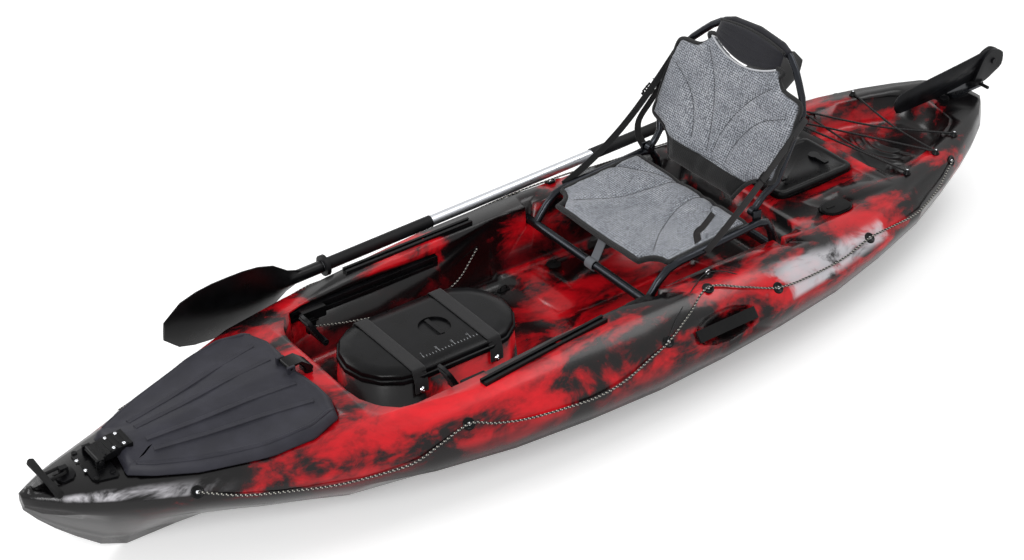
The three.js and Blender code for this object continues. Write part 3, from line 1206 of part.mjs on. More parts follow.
function rearLatch (x, turn) {
  const base = REAR_LID_TOP - 3 + GAP
  const hub = rod([x, 0, base], [x, 0, base + REAR_LATCH_HEIGHT], REAR_LATCH_RADIUS, 16)
  const arm = block(0, REAR_LATCH_ARM / 2, 0, REAR_LATCH_RADIUS, REAR_LATCH_ARM, REAR_LATCH_HEIGHT * 0.7)
  arm.rotateZ(turn).translate(x, 0, base + REAR_LATCH_HEIGHT * 0.65)
  return join(hub, arm)
}

// Flush rod holder: oval flange, leaning tube with a closed foot, hinged cap
const ROD_DECK = deckZ(ROD_X, ROD_Y)
const ROD_SEAT = Math.min(deckZ(ROD_X - ROD_FLANGE_LENGTH / 2, ROD_Y + ROD_FLANGE_WIDTH / 2),
  deckZ(ROD_X + ROD_FLANGE_LENGTH / 2, ROD_Y + ROD_FLANGE_WIDTH / 2), ROD_DECK) - 2
const rodOutline = extra => stadium(ROD_X, ROD_Y, ROD_FLANGE_LENGTH + 2 * extra, ROD_FLANGE_WIDTH / 2 + extra, 5)

function rodSeat (grow) {
  const seat = prism(rodOutline(2 + grow), ROD_SEAT - grow, SKY)
  return toSolid(seat).add(toSolid(mirrored(seat)))
}

function rodHoles () {
  const hole = rod([ROD_X - 2, ROD_Y, ROD_SEAT - 3 * OVERRUN], [ROD_X - 2, ROD_Y, SKY], ROD_BORE + ROD_WALL + 5, 12)
  return toSolid(hole).add(toSolid(mirrored(hole)))
}

const rodAim = depth => [ROD_X - depth * Math.sin(ROD_TILT), ROD_Y, ROD_SEAT - depth * Math.cos(ROD_TILT)]

function rodHolder () {
  const flange = prism(rodOutline(0), ROD_SEAT + GAP, ROD_SEAT + GAP + ROD_FLANGE_THICK)
  const body = rod(rodAim(-ROD_FLANGE_THICK * 0.4), rodAim(ROD_DEPTH), ROD_BORE + ROD_WALL, 12)
  const bore = rod(rodAim(-2 * OVERRUN), rodAim(ROD_DEPTH - 2 * ROD_WALL), ROD_BORE, 12)
  return cut(join(flange, body), bore, prism(rodOutline(OVERRUN), ROD_SEAT + GAP + ROD_FLANGE_THICK, SKY))
}

const ROD_CAP_BASE = ROD_SEAT + 2 * GAP + ROD_FLANGE_THICK

function rodCap () {
  const lid = loft([level(rodOutline(-4), ROD_CAP_BASE), level(rodOutline(-4), ROD_CAP_BASE + ROD_CAP_THICK * 0.6),
    level(rodOutline(-8), ROD_CAP_BASE + ROD_CAP_THICK)])
  const tab = block(ROD_X + ROD_FLANGE_LENGTH * 0.2, ROD_Y, ROD_CAP_BASE + ROD_CAP_THICK, 26, 6, 6)
  return join(lid, tab)
}

// Webbing carry handle bowed over the dish in the shoulder
function carryHandle () {
  const place = shoulder(HANDLE_X, HANDLE_SHARE)
  const half = HANDLE_LENGTH / 2
  const foot = HANDLE_FOOT
  const arch = [[-half - foot, -OVERRUN / 4], [-half - foot, HANDLE_THICK * 0.5], [-half, HANDLE_THICK],
    [-half * 0.5, HANDLE_RISE], [half * 0.5, HANDLE_RISE], [half, HANDLE_THICK], [half + foot, HANDLE_THICK * 0.5],
    [half + foot, -OVERRUN / 4], [half, -OVERRUN / 4], [half * 0.86, 2], [half * 0.5, HANDLE_RISE - HANDLE_THICK],
    [-half * 0.5, HANDLE_RISE - HANDLE_THICK], [-half * 0.86, 2], [-half, -OVERRUN / 4]]
  const strap = new THREE.ExtrudeGeometry(shapeOf(arch), { depth: HANDLE_WIDTH, bevelEnabled: false })
  strap.rotateX(Math.PI / 2).translate(0, HANDLE_WIDTH / 2, 0)
  stand(strap, place.point, place.up, AHEAD)
  const body = toSolid(strap).subtract(hullRaised(GAP))
  return toGeometry(body)
}

// Deck line: eyelets on the shoulder, with the cord lying over it and sagging past the rub line at the bow
const EYELET_PLACES = [[1180, 0.65], [541, 0.57], [-48, 0.6], [-232, 0], [-430, 0.6], [-790, 0.6], [-1218, 0.47]]
const LINE_STOPS = [[1180, 0.65], [1090, 1.15], [1000, 1.4], [890, 1.45], [780, 1.3], [700, 1.02], [630, 0.8], [541, 0.57],
  [480, 0.74], [400, 0.88], [300, 0.94], [200, 0.96], [110, 0.88], [20, 0.72], [-48, 0.6], [-140, 0.32], [-232, 0],
  [-331, 0.3], [-430, 0.6], [-540, 0.68], [-670, 0.7], [-790, 0.6], [-880, 0.72], [-985, 0.9], [-1100, 0.84],
  [-1218, 0.47]]

function deckLine () {
  const path = LINE_STOPS.map(([x, share]) => {
    const place = shoulder(x, share)
    const lift = LINE_RADIUS + LINE_LIFT + (share > 0.8 && share < 1.2 ? LINE_LIFT : 0)
    return place.point.clone().addScaledVector(place.up, lift)
  })
  const cord = toSolid(sweep(new THREE.CatmullRomCurve3(path).getPoints(LINE_STEPS), 5, () => [LINE_RADIUS, LINE_RADIUS]))
  const eyelets = EYELET_PLACES.map(([x, share]) => {
    const place = shoulder(x, share)
    const knob = new THREE.CylinderGeometry(EYELET_RADIUS * 0.7, EYELET_RADIUS, EYELET_HEIGHT + OVERRUN / 2, 6)
    knob.rotateX(Math.PI / 2).translate(0, 0, EYELET_HEIGHT / 2 - OVERRUN / 4)
    return toSolid(stand(knob, place.point, place.up, AHEAD))
  })
  return toGeometry(joinSolids([cord, joinSolids(eyelets).subtract(hullRaised(GAP))]))
}

// Rudder control line from the pedal carriage, along the footwell, to a fairlead on its wall
const FAIRLEAD = [72, 268, 232]

function rudderLine (carriage) {
  const start = [carriage + CARRIAGE_LENGTH * 0.2, ARM_INSIDE - GAP - LINE_RADIUS, PEDAL_AXLE_Z + 16]
  const reach = start[0] - FAIRLEAD[0]
  const low = [[0.25, 0.2, 0.5], [0.55, 0.5, 0.8], [0.8, 0.3, 0.6]].map(([run, inward, down]) =>
    [start[0] - reach * run, start[1] - LINE_INWARD * inward, start[2] - LINE_DROP * down])
  const path = [start, ...low, [FAIRLEAD[0], FAIRLEAD[1] - EYELET_RADIUS, FAIRLEAD[2]]].map(p => new THREE.Vector3(...p))
  const cord = sweep(new THREE.CatmullRomCurve3(path).getPoints(14), 6, () => [LINE_RADIUS * 0.8, LINE_RADIUS * 0.8])
  const knob = rod(FAIRLEAD, [FAIRLEAD[0], FAIRLEAD[1] - EYELET_RADIUS * 2, FAIRLEAD[2]], EYELET_RADIUS * 0.8, 8)
  return toGeometry(toSolid(cord).add(toSolid(knob)).subtract(footwellWall()))
}

// Everything outside the side walls of the footwell, brought in by the gap
function footwellWall () {
  const slab = toSolid(block(FAIRLEAD[0], FAIRLEAD[1], FAIRLEAD[2], 6 * EYELET_RADIUS, 6 * EYELET_RADIUS, 6 * EYELET_RADIUS))
  return slab.subtract(footwell(-GAP))
}

// Crossed bungee over the tank well, hooked under pad eyes on its rim; eyes as x and y, runs as pairs of eyes
const PAD_EYE_PLACES = [[-1002, -214], [-1062, -218], [-1240, -184], [-1060, 218], [-1190, 200], [-1296, 168]]
const BUNGEE_RUNS = [[0, 3], [0, 4], [1, 3], [1, 5], [2, 4]]

function tankBungee () {
  const eyes = PAD_EYE_PLACES.map(([x, y]) => {
    const knob = new THREE.CylinderGeometry(PAD_EYE_RADIUS * 0.6, PAD_EYE_RADIUS, PAD_EYE_HEIGHT + OVERRUN / 2, 6)
    return toSolid(knob.rotateX(Math.PI / 2).translate(x, y, deckZ(x, y) + PAD_EYE_HEIGHT / 2 - OVERRUN / 4))
  })
  const hook = ([x, y]) => new THREE.Vector3(x, y, deckZ(x, y) + PAD_EYE_HEIGHT * 0.5)
  const runs = BUNGEE_RUNS.map(([a, b]) => {
    const from = hook(PAD_EYE_PLACES[a])
    const to = hook(PAD_EYE_PLACES[b])
    const middle = from.clone().lerp(to, 0.5)
    middle.z -= a === 0 ? 0 : BUNGEE_SAG
    return toSolid(tube([from.toArray(), middle.toArray(), to.toArray()], BUNGEE_RADIUS, 0, 5))
  })
  return toGeometry(joinSolids([...eyes.map(eye => eye.subtract(hullRaised(GAP))), ...runs]))
}

// Rudder
const BRACKET_TOP = deckZ(BRACKET_FRONT, 0) + BRACKET_THICK + GAP
const YOKE_BASE = BRACKET_TOP + GAP
const BLADE_PIVOT_Z = BRACKET_TOP + BLADE_PIVOT_RISE

function rudderBracket () {
  const aft = STEER_X - BRACKET_HALF
  const outline = rounded([[BRACKET_FRONT, -BRACKET_HALF], [BRACKET_FRONT, BRACKET_HALF], [aft, BRACKET_HALF * 0.8],
    [aft, -BRACKET_HALF * 0.8]], 14, 3)
  const plate = prism(outline, BRACKET_TOP - BRACKET_THICK, BRACKET_TOP)
  const front = rounded([[BRACKET_FRONT, -BRACKET_HALF], [BRACKET_FRONT, BRACKET_HALF], [-LENGTH / 2 + OVERRUN, BRACKET_HALF],
    [-LENGTH / 2 + OVERRUN, -BRACKET_HALF]], 8, 2)
  const foot = prism(front, BRACKET_TOP - 2 * OVERRUN, BRACKET_TOP - BRACKET_THICK / 2)
  const pin = rod([STEER_X, 0, BRACKET_TOP - 2], [STEER_X, 0, YOKE_BASE + YOKE_THICK * 0.7], STEER_PIN_RADIUS, 12)
  return onDeck(join(plate, foot, pin))
}

function rudderYoke () {
  const disc = rod([STEER_X, 0, YOKE_BASE], [STEER_X, 0, YOKE_BASE + YOKE_THICK], YOKE_RADIUS, 12)
  const tee = rod([STEER_X, -TEE_HALF, YOKE_BASE + YOKE_THICK / 2], [STEER_X, TEE_HALF, YOKE_BASE + YOKE_THICK / 2],
    TEE_RADIUS, 8)
  const inner = BLADE_THICK / 2 + GAP
  const cheek = rounded([[STEER_X + YOKE_RADIUS * 0.7, YOKE_BASE], [STEER_X + YOKE_RADIUS * 0.5, YOKE_BASE + 1.6 * YOKE_THICK],
    [BLADE_PIVOT_X + CHEEK_RADIUS, BLADE_PIVOT_Z + CHEEK_RADIUS * 0.6], [BLADE_PIVOT_X, BLADE_PIVOT_Z + CHEEK_RADIUS],
    [BLADE_PIVOT_X - CHEEK_RADIUS, BLADE_PIVOT_Z + CHEEK_RADIUS * 0.5], [BLADE_PIVOT_X - CHEEK_RADIUS, BLADE_PIVOT_Z - CHEEK_RADIUS * 0.6],
    [STEER_X - YOKE_RADIUS * 1.4, YOKE_BASE]], 14, 2)
  const cheeks = [1, -1].map(side => {
    const plate = new THREE.ExtrudeGeometry(shapeOf(cheek), { depth: CHEEK_THICK, bevelEnabled: false })
    plate.rotateX(Math.PI / 2)
    return plate.translate(0, side > 0 ? inner + CHEEK_THICK : -inner, 0)
  })
  const bore = rod([STEER_X, 0, YOKE_BASE - OVERRUN], [STEER_X, 0, YOKE_BASE + YOKE_THICK * 0.7 + GAP], STEER_PIN_RADIUS + GAP, 12)
  return cut(join(disc, tee, ...cheeks, rudderPivotPin()), bore)
}

// Foil blade, stowed forward over the deck
function rudderBlade () {
  const outline = [[0, BLADE_ROOT], [BLADE_LENGTH * 0.3, BLADE_ROOT * 0.95], [BLADE_LENGTH * 0.92, BLADE_TIP],
    [BLADE_LENGTH, BLADE_TIP * 0.4], [BLADE_LENGTH * 0.98, -BLADE_TIP * 0.8], [BLADE_LENGTH * 0.5, -BLADE_ROOT * 1.1],
    [0, -BLADE_ROOT], [-BLADE_ROOT, -BLADE_ROOT * 0.3], [-BLADE_ROOT * 0.8, BLADE_ROOT * 0.7]]
  const round = rounded(outline, 20, 2)
  const sheet = (distance, y) => inset(round, distance).map(([x, z]) => new THREE.Vector3(x, y, z))
  const half = BLADE_THICK / 2
  const blade = loft([sheet(3, -half), sheet(0, -half * 0.3), sheet(0, half * 0.3), sheet(3, half)])
  blade.rotateY(BLADE_DROP).translate(BLADE_PIVOT_X, 0, BLADE_PIVOT_Z)
  return cut(blade, rod([BLADE_PIVOT_X, -OVERRUN, BLADE_PIVOT_Z], [BLADE_PIVOT_X, OVERRUN, BLADE_PIVOT_Z],
    PIVOT_PIN_RADIUS + GAP, 12))
}

function rudderPivotPin () {
  const reach = BLADE_THICK / 2 + CHEEK_THICK + 3 * GAP
  return join(
    rod([BLADE_PIVOT_X, -reach - 4, BLADE_PIVOT_Z], [BLADE_PIVOT_X, reach, BLADE_PIVOT_Z], PIVOT_PIN_RADIUS, 12),
    rod([BLADE_PIVOT_X, reach - GAP, BLADE_PIVOT_Z], [BLADE_PIVOT_X, reach + 4, BLADE_PIVOT_Z], PIVOT_PIN_RADIUS * 1.8, 12))
}

// Low rest on the after deck under the stowed blade
function rudderRest () {
  const x = BLADE_PIVOT_X + BLADE_LENGTH * 0.5
  const low = BLADE_PIVOT_Z - BLADE_LENGTH * 0.5 * Math.sin(BLADE_DROP) - BLADE_ROOT * 1.1 * Math.cos(BLADE_DROP)
  const outline = rectangle(x, 0, 30, 48, 8, 2)
  return onDeck(prism(outline, low - 3 * OVERRUN, low - 2 * GAP))
}

// Paddle, laid along the starboard gunwale over the deck line and the carry handle
const PADDLE_STOPS = [...Array(60).keys()].map(i => -900 + i * 22)
const PADDLE_Z = Math.max(...PADDLE_STOPS.flatMap(x => [-1, -0.6, 0, 0.6, 1].map(side => {
  const y = PADDLE_Y + side * GRIP_RADIUS
  return y > breadth(x) ? 0 : deckZ(x, y) + GRIP_RADIUS * Math.sqrt(1 - side * side) + PADDLE_SLOPE * x
}))) + PADDLE_CLEARANCE
const SHAFT_FRONT = PADDLE_FRONT - PADDLE_BLADE_LENGTH
const SHAFT_REAR = PADDLE_REAR + PADDLE_BLADE_LENGTH
const onGunwale = geometry => geometry.rotateY(PADDLE_SLOPE).translate(0, -PADDLE_Y, PADDLE_Z)
const sleeveSolid = (from, to, radius) => toSolid(rod([from, 0, 0], [to, 0, 0], radius, 16))

function paddleShaft () {
  const [from, to] = [SHAFT_REAR - 70, SHAFT_FRONT + 70]
  const inner = sleeveSolid(from - OVERRUN, to + OVERRUN, SHAFT_RADIUS - SHAFT_WALL)
  return onGunwale(toGeometry(sleeveSolid(from, to, SHAFT_RADIUS).subtract(inner)))
}

// Rubber grip with the drip ring at its outer end
function paddleGrip (ringEnd, innerEnd) {
  const inward = Math.sign(innerEnd - ringEnd)
  const ring = sleeveSolid(ringEnd, ringEnd + inward * DRIP_WIDTH, DRIP_RADIUS)
  const inner = sleeveSolid(ringEnd - inward * OVERRUN, innerEnd + inward * OVERRUN, SHAFT_RADIUS + GAP)
  return onGunwale(toGeometry(sleeveSolid(ringEnd, innerEnd, GRIP_RADIUS).add(ring).subtract(inner)))
}

// Blade: a socket over the shaft, a spine that fades out, and a dished face
const BLADE_SHARES = [[0, 0.16], [0.1, 0.33], [0.22, 0.74], [0.36, 0.94], [0.5, 1], [0.64, 1], [0.78, 0.93],
  [0.9, 0.75], [0.97, 0.5], [1, 0.3]]

function paddleBlade (front) {
  const rows = 9
  const columns = 6
  const socket = 60
  const at = (i, j, face) => {
    const u = i / rows
    const v = -1 + 2 * j / columns
    const half = along(BLADE_SHARES, u) * PADDLE_BLADE_HALF
    const spine = 9 * (1 - u) ** 2 * Math.max(0, 1 - 3 * v * v)
    const dish = 14 * (1 - v * v) * Math.sin(Math.PI * u)
    const thick = PADDLE_BLADE_THICK * (1 - 0.6 * Math.abs(v) ** 3) / 2 + spine
    return new THREE.Vector3(socket + u * (PADDLE_BLADE_LENGTH - socket), dish + (face ? thick : -thick), v * half)
  }
  const blade = quilted(at, rows, columns)
  const neck = sleeveSolid(0, 2.4 * socket, GRIP_RADIUS)
  const bore = sleeveSolid(-OVERRUN, socket + 14, SHAFT_RADIUS + GAP)
  const body = toGeometry(toSolid(blade).add(neck).subtract(bore))
  if (!front) body.rotateZ(Math.PI)
  body.rotateX(-PADDLE_LEAN).translate(front ? SHAFT_FRONT : SHAFT_REAR, 0, 0)
  return onGunwale(body)
}

// Group of named meshes
const kayak = new THREE.Group()
kayak.name = 'fishing_kayak'
const RED = 0xb0121a
const BLACK = 0x17181a
const CHARCOAL = 0x2c2d31
const STEEL = 0x9a9da3
const GREY = 0x82848a

function add (name, geometry, color, roughness, metalness) {
  const bare = mergeVertices(onlyPositions(geometry))
  bare.computeVertexNormals()
  const mesh = new THREE.Mesh(bare, new THREE.MeshStandardMaterial({ color, roughness, metalness }))
  mesh.name = name
  kayak.add(mesh)
}

function addPair (name, geometry, color, roughness, metalness) {
  add(`${name}_port`, geometry, color, roughness, metalness)
  add(`${name}_starboard`, mirrored(geometry), color, roughness, metalness)
}

function hull () {
  const wells = grow => joinSolids([footwell(grow), seatWell(grow), tankWell(grow), scuppers(grow),
    footRailPockets(grow), handleDishes(grow), rearHatchSeat(grow), rodSeat(grow)])
  const cavity = toSolid(hullLoft(SHELL_SHARES, WALL)).subtract(wells(WALL))
  const openings = joinSolids([
    toSolid(prism(hatchOutline(HATCH_RIM + HATCH_SEAL_WIDTH), CONSOLE_TOP - 3 * OVERRUN, SKY)),
    toSolid(prism(podOutline(-CONSOLE_LIP), CONSOLE_TOP - OVERRUN, SKY)),
    toSolid(prism(rearOutline(-REAR_FRAME_WIDTH), REAR_SEAT - OVERRUN, SKY)),
    rodHoles()
  ])
  const ribs = tankRibs().intersect(hullSkin)
  return hullSkin.subtract(wells(0)).subtract(cavity).add(ribs.subtract(cavity)).subtract(openings)
}

// The shell is one moulding. It is given in five lengths, each simple enough to stand for its own wells
function hullSections () {
  const shell = hull().add(toSolid(bowPlug()))
  const ends = [-LENGTH, ...SECTION_CUTS, LENGTH]
  return SECTION_NAMES.map((name, i) => {
    const from = ends[i] + GAP / 2
    const to = ends[i + 1] - GAP / 2
    const length = toSolid(block((from + to) / 2, 0, 0, to - from, 2 * BEAM, 4 * DECK_HEIGHT))
    return [name, toGeometry(shell.intersect(length))]
  })
}

for (const [name, geometry] of hullSections()) add(name, geometry, RED, 0.28, 0)
add('bow_hatch_lid', bowHatchLid(), CHARCOAL, 0.6, 0)
add('bow_hatch_seal', bowHatchSeal(), BLACK, 0.9, 0)
add('bow_hinge_base', bowHingeBase(), BLACK, 0.4, 0)
add('bow_hinge_strap', bowHingeStrap(), BLACK, 0.4, 0)
add('bow_latch_lever', bowLatchLever(), BLACK, 0.4, 0)
add('bow_latch_catch', bowLatchCatch(), BLACK, 0.4, 0)
add('bow_toggle', bowToggle(), BLACK, 0.7, 0)
add('bow_toggle_fitting', bowToggleFitting(), BLACK, 0.4, 0)
addPair('deck_line', deckLine(), BLACK, 0.8, 0)
addPair('accessory_rail', accessoryRail(), BLACK, 0.4, 0)
addPair('foot_rail', footRail(), BLACK, 0.45, 0)
add('pedal_carriage_port', pedalCarriage(PEDAL_PORT_X), BLACK, 0.45, 0)
add('pedal_carriage_starboard', mirrored(pedalCarriage(PEDAL_STARBOARD_X)), BLACK, 0.45, 0)
add('pedal_port', pedal(PEDAL_PORT_X), CHARCOAL, 0.6, 0)
add('pedal_starboard', mirrored(pedal(PEDAL_STARBOARD_X)), CHARCOAL, 0.6, 0)
add('rudder_line_port', rudderLine(PEDAL_PORT_X), BLACK, 0.8, 0)
add('rudder_line_starboard', mirrored(rudderLine(PEDAL_STARBOARD_X)), BLACK, 0.8, 0)
add('pod_rim', podRim(), BLACK, 0.4, 0)
add('pod_lid', podLid(), BLACK, 0.4, 0)
add('pod_knob', podKnob(), BLACK, 0.35, 0)
add('pod_strap_front', podStrap(CONSOLE_X + STRAP_SPREAD), BLACK, 0.85, 0)
add('pod_strap_rear', podStrap(CONSOLE_X - STRAP_SPREAD), BLACK, 0.85, 0)
addPair('scupper_plug', scupperPlug(SCUPPER_PLACES[0][0], SCUPPER_PLACES[0][1], SEATWELL_FLOOR), BLACK, 0.5, 0)
add('floor_pad_eye', floorPadEye(), BLACK, 0.4, 0)
add('seat_base_frame', seatBaseFrame(), STEEL, 0.35, 1)
add('seat_pan', seatPan(), GREY, 0.9, 0)
add('seat_back_frame', seatBackFrame(), BLACK, 0.4, 0.6)
add('seat_back_pad', seatBackPad(), GREY, 0.9, 0)
add('seat_head_panel', seatHeadPanel(), BLACK, 0.85, 0)
add('seat_strap_port', sideStrap(STRAP_LOW_PORT, STRAP_SAG_PORT), BLACK, 0.85, 0)
add('seat_strap_starboard', mirrored(sideStrap(STRAP_LOW_STARBOARD, STRAP_SAG_STARBOARD)), BLACK, 0.85, 0)
add('rear_hatch_frame', rearHatchFrame(), BLACK, 0.4, 0)
add('rear_hatch_lid', rearHatchLid(), BLACK, 0.4, 0)
add('rear_latch_front', rearLatch(REAR_HATCH_X + REAR_HATCH_LENGTH * 0.28, 0), BLACK, 0.4, 0)
add('rear_latch_aft', rearLatch(REAR_HATCH_X - REAR_HATCH_LENGTH * 0.28, 0), BLACK, 0.4, 0)
addPair('rod_holder', rodHolder(), BLACK, 0.45, 0)
addPair('rod_cap', rodCap(), BLACK, 0.5, 0)
addPair('carry_handle', carryHandle(), BLACK, 0.6, 0)
add('tank_bungee', tankBungee(), BLACK, 0.8, 0)
add('rudder_bracket', rudderBracket(), BLACK, 0.4, 0)
add('rudder_yoke', rudderYoke(), BLACK, 0.4, 0)
add('rudder_blade', rudderBlade(), BLACK, 0.4, 0)
add('rudder_rest', rudderRest(), BLACK, 0.5, 0)
add('paddle_shaft', paddleShaft(), STEEL, 0.3, 1)
add('paddle_grip_front', paddleGrip(SHAFT_FRONT - 2, SHAFT_FRONT - GRIP_LENGTH), BLACK, 0.8, 0)
add('paddle_grip_rear', paddleGrip(SHAFT_REAR + 2, SHAFT_REAR + GRIP_REAR_LENGTH), BLACK, 0.8, 0)
add('paddle_blade_front', paddleBlade(true), BLACK, 0.35, 0)
add('paddle_blade_rear', paddleBlade(false), BLACK, 0.35, 0)

export default kayak
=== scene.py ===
# %% [markdown]
# # A sit-on-top fishing kayak
# The boat is one rotomoulded shell of polyethylene, and nearly everything else is bolted, strapped or laced
# to it. The rigid pieces come in as a fixed frame in metres, with +X to the bow, +Y to port and +Z up. Here
# they get their finishes, and the soft pieces, cords and small fasteners are built on top of them.

# %% Load the frame
import bpy
import bmesh
import math
from mathutils import Matrix, Vector
from mathutils.bvhtree import BVHTree


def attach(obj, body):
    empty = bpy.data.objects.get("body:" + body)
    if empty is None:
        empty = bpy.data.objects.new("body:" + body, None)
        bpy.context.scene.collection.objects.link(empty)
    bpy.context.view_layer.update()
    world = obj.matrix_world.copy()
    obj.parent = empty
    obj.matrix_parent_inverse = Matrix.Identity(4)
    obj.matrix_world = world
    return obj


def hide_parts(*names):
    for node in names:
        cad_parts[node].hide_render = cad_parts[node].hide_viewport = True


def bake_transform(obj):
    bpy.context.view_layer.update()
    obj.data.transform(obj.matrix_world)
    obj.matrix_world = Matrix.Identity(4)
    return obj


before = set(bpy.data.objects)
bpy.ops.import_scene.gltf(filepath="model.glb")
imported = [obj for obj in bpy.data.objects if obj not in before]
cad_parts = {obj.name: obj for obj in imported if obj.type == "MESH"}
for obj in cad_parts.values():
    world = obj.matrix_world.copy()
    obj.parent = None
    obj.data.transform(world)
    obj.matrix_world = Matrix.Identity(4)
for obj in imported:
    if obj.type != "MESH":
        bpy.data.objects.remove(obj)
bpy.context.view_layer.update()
MM = 0.001

# %% [markdown]
# The boat is seen from above its port bow, from about 5.5 m away with a short telephoto lens.
# A long lens keeps the bow from looking bloated. The camera is set from its place, its heading and its dip,
# because these three numbers are what a photographer could read off a tripod.

# %% Camera
CAMERA_PLACE = Vector((2.87365, 3.70168, 3.32238))
CAMERA_HEADING = math.radians(-126.405)
CAMERA_DIP = math.radians(-33.365)
CAMERA_ROLL = math.radians(-0.209)
SENSOR_WIDTH_MM, FOCAL_LENGTH_MM = 36, 75.41


def aimed(heading, dip, roll):
    ahead = Vector((math.cos(dip) * math.cos(heading), math.cos(dip) * math.sin(heading), math.sin(dip)))
    right = ahead.cross(Vector((0, 0, 1))).normalized()
    up = right.cross(ahead)
    right, up = (right * math.cos(roll) + up * math.sin(roll), up * math.cos(roll) - right * math.sin(roll))
    return Matrix((right, up, -ahead)).transposed()


lens = bpy.data.cameras.new("camera")
lens.sensor_width = SENSOR_WIDTH_MM
lens.lens = FOCAL_LENGTH_MM
camera = bpy.data.objects.new("camera", lens)
camera.matrix_world = Matrix.Translation(CAMERA_PLACE) @ aimed(CAMERA_HEADING, CAMERA_DIP, CAMERA_ROLL).to_4x4()
bpy.context.scene.collection.objects.link(camera)
bpy.context.scene.camera = camera
bpy.context.scene.view_settings.view_transform = "Standard"
print("camera", [round(v, 2) for v in camera.location], "lens", lens.lens)

# %% [markdown]
# Every finish is a small tree of nodes. Three helpers keep the trees readable:
# one turns the sRGB colours that people read off a screen into the linear light that a shader works in,
# one adds a node together with its settings and its links, and one starts a finish.
# A colour mix takes its factor on socket 0 and its two colours on sockets 6 and 7.

# %% Node helpers
def linear(code):
    channels = [int(code[i:i + 2], 16) / 255 for i in (1, 3, 5)]
    return tuple(c / 12.92 if c <= 0.04045 else ((c + 0.055) / 1.055) ** 2.4 for c in channels) + (1.0,)


def link(tree, source, socket):
    """Links a socket to an output, or to the first live output of a node."""
    if isinstance(source, bpy.types.Node):
        source = next(output for output in source.outputs if output.enabled)
    tree.links.new(source, socket)


def add(tree, kind, inputs=None, **settings):
    """Adds a node with its settings. An input that is a node or an output is linked, and any other is set."""
    item = tree.nodes.new(kind)
    for name, value in settings.items():
        setattr(item, name, value)
    for name, value in (inputs or {}).items():
        if isinstance(value, (bpy.types.Node, bpy.types.NodeSocket)):
            link(tree, value, item.inputs[name])
        else:
            item.inputs[name].default_value = value
    return item


def set_stops(ramp, stops):
    """Gives a colour ramp its stops, each a place from 0 to 1 and a colour."""
    elements = ramp.color_ramp.elements
    while len(elements) < len(stops):
        elements.new(0.5)
    for element, (place, colour) in zip(elements, stops):
        element.position = place
        element.color = linear(colour)
    return ramp


def start_finish(name, roughness, metallic=0.0, **sockets):
    finish = bpy.data.materials.new(name)
    finish.use_nodes = True
    shader = finish.node_tree.nodes["Principled BSDF"]
    shader.inputs["Roughness"].default_value = roughness
    shader.inputs["Metallic"].default_value = metallic
    for socket, value in sockets.items():
        shader.inputs[socket.replace("_", " ")].default_value = value
    return finish, finish.node_tree, shader


def per_mm(size):
    return 1 / (size * MM)


def ripple(tree, coordinate, pitch):
    """A sine wave along a coordinate, which comes round once in each pitch."""
    angle = add(tree, "ShaderNodeMath", {0: coordinate, 1: 2 * math.pi / pitch}, operation="MULTIPLY")
    return add(tree, "ShaderNodeMath", {0: angle}, operation="SINE")


def raise_bump(tree, shader, height, distance, strength=1.0, edge=1 * MM):
    """Small relief from height, over edges that catch light as if they were rounded by edge."""
    rounded = add(tree, "ShaderNodeBevel", {"Radius": edge}, samples=4)
    bump = add(tree, "ShaderNodeBump", {"Height": height, "Distance": distance, "Strength": strength,
                                        "Normal": rounded})
    link(tree, bump, shader.inputs["Normal"])


print("helpers ready, a 1 mm pattern has scale", per_mm(1))
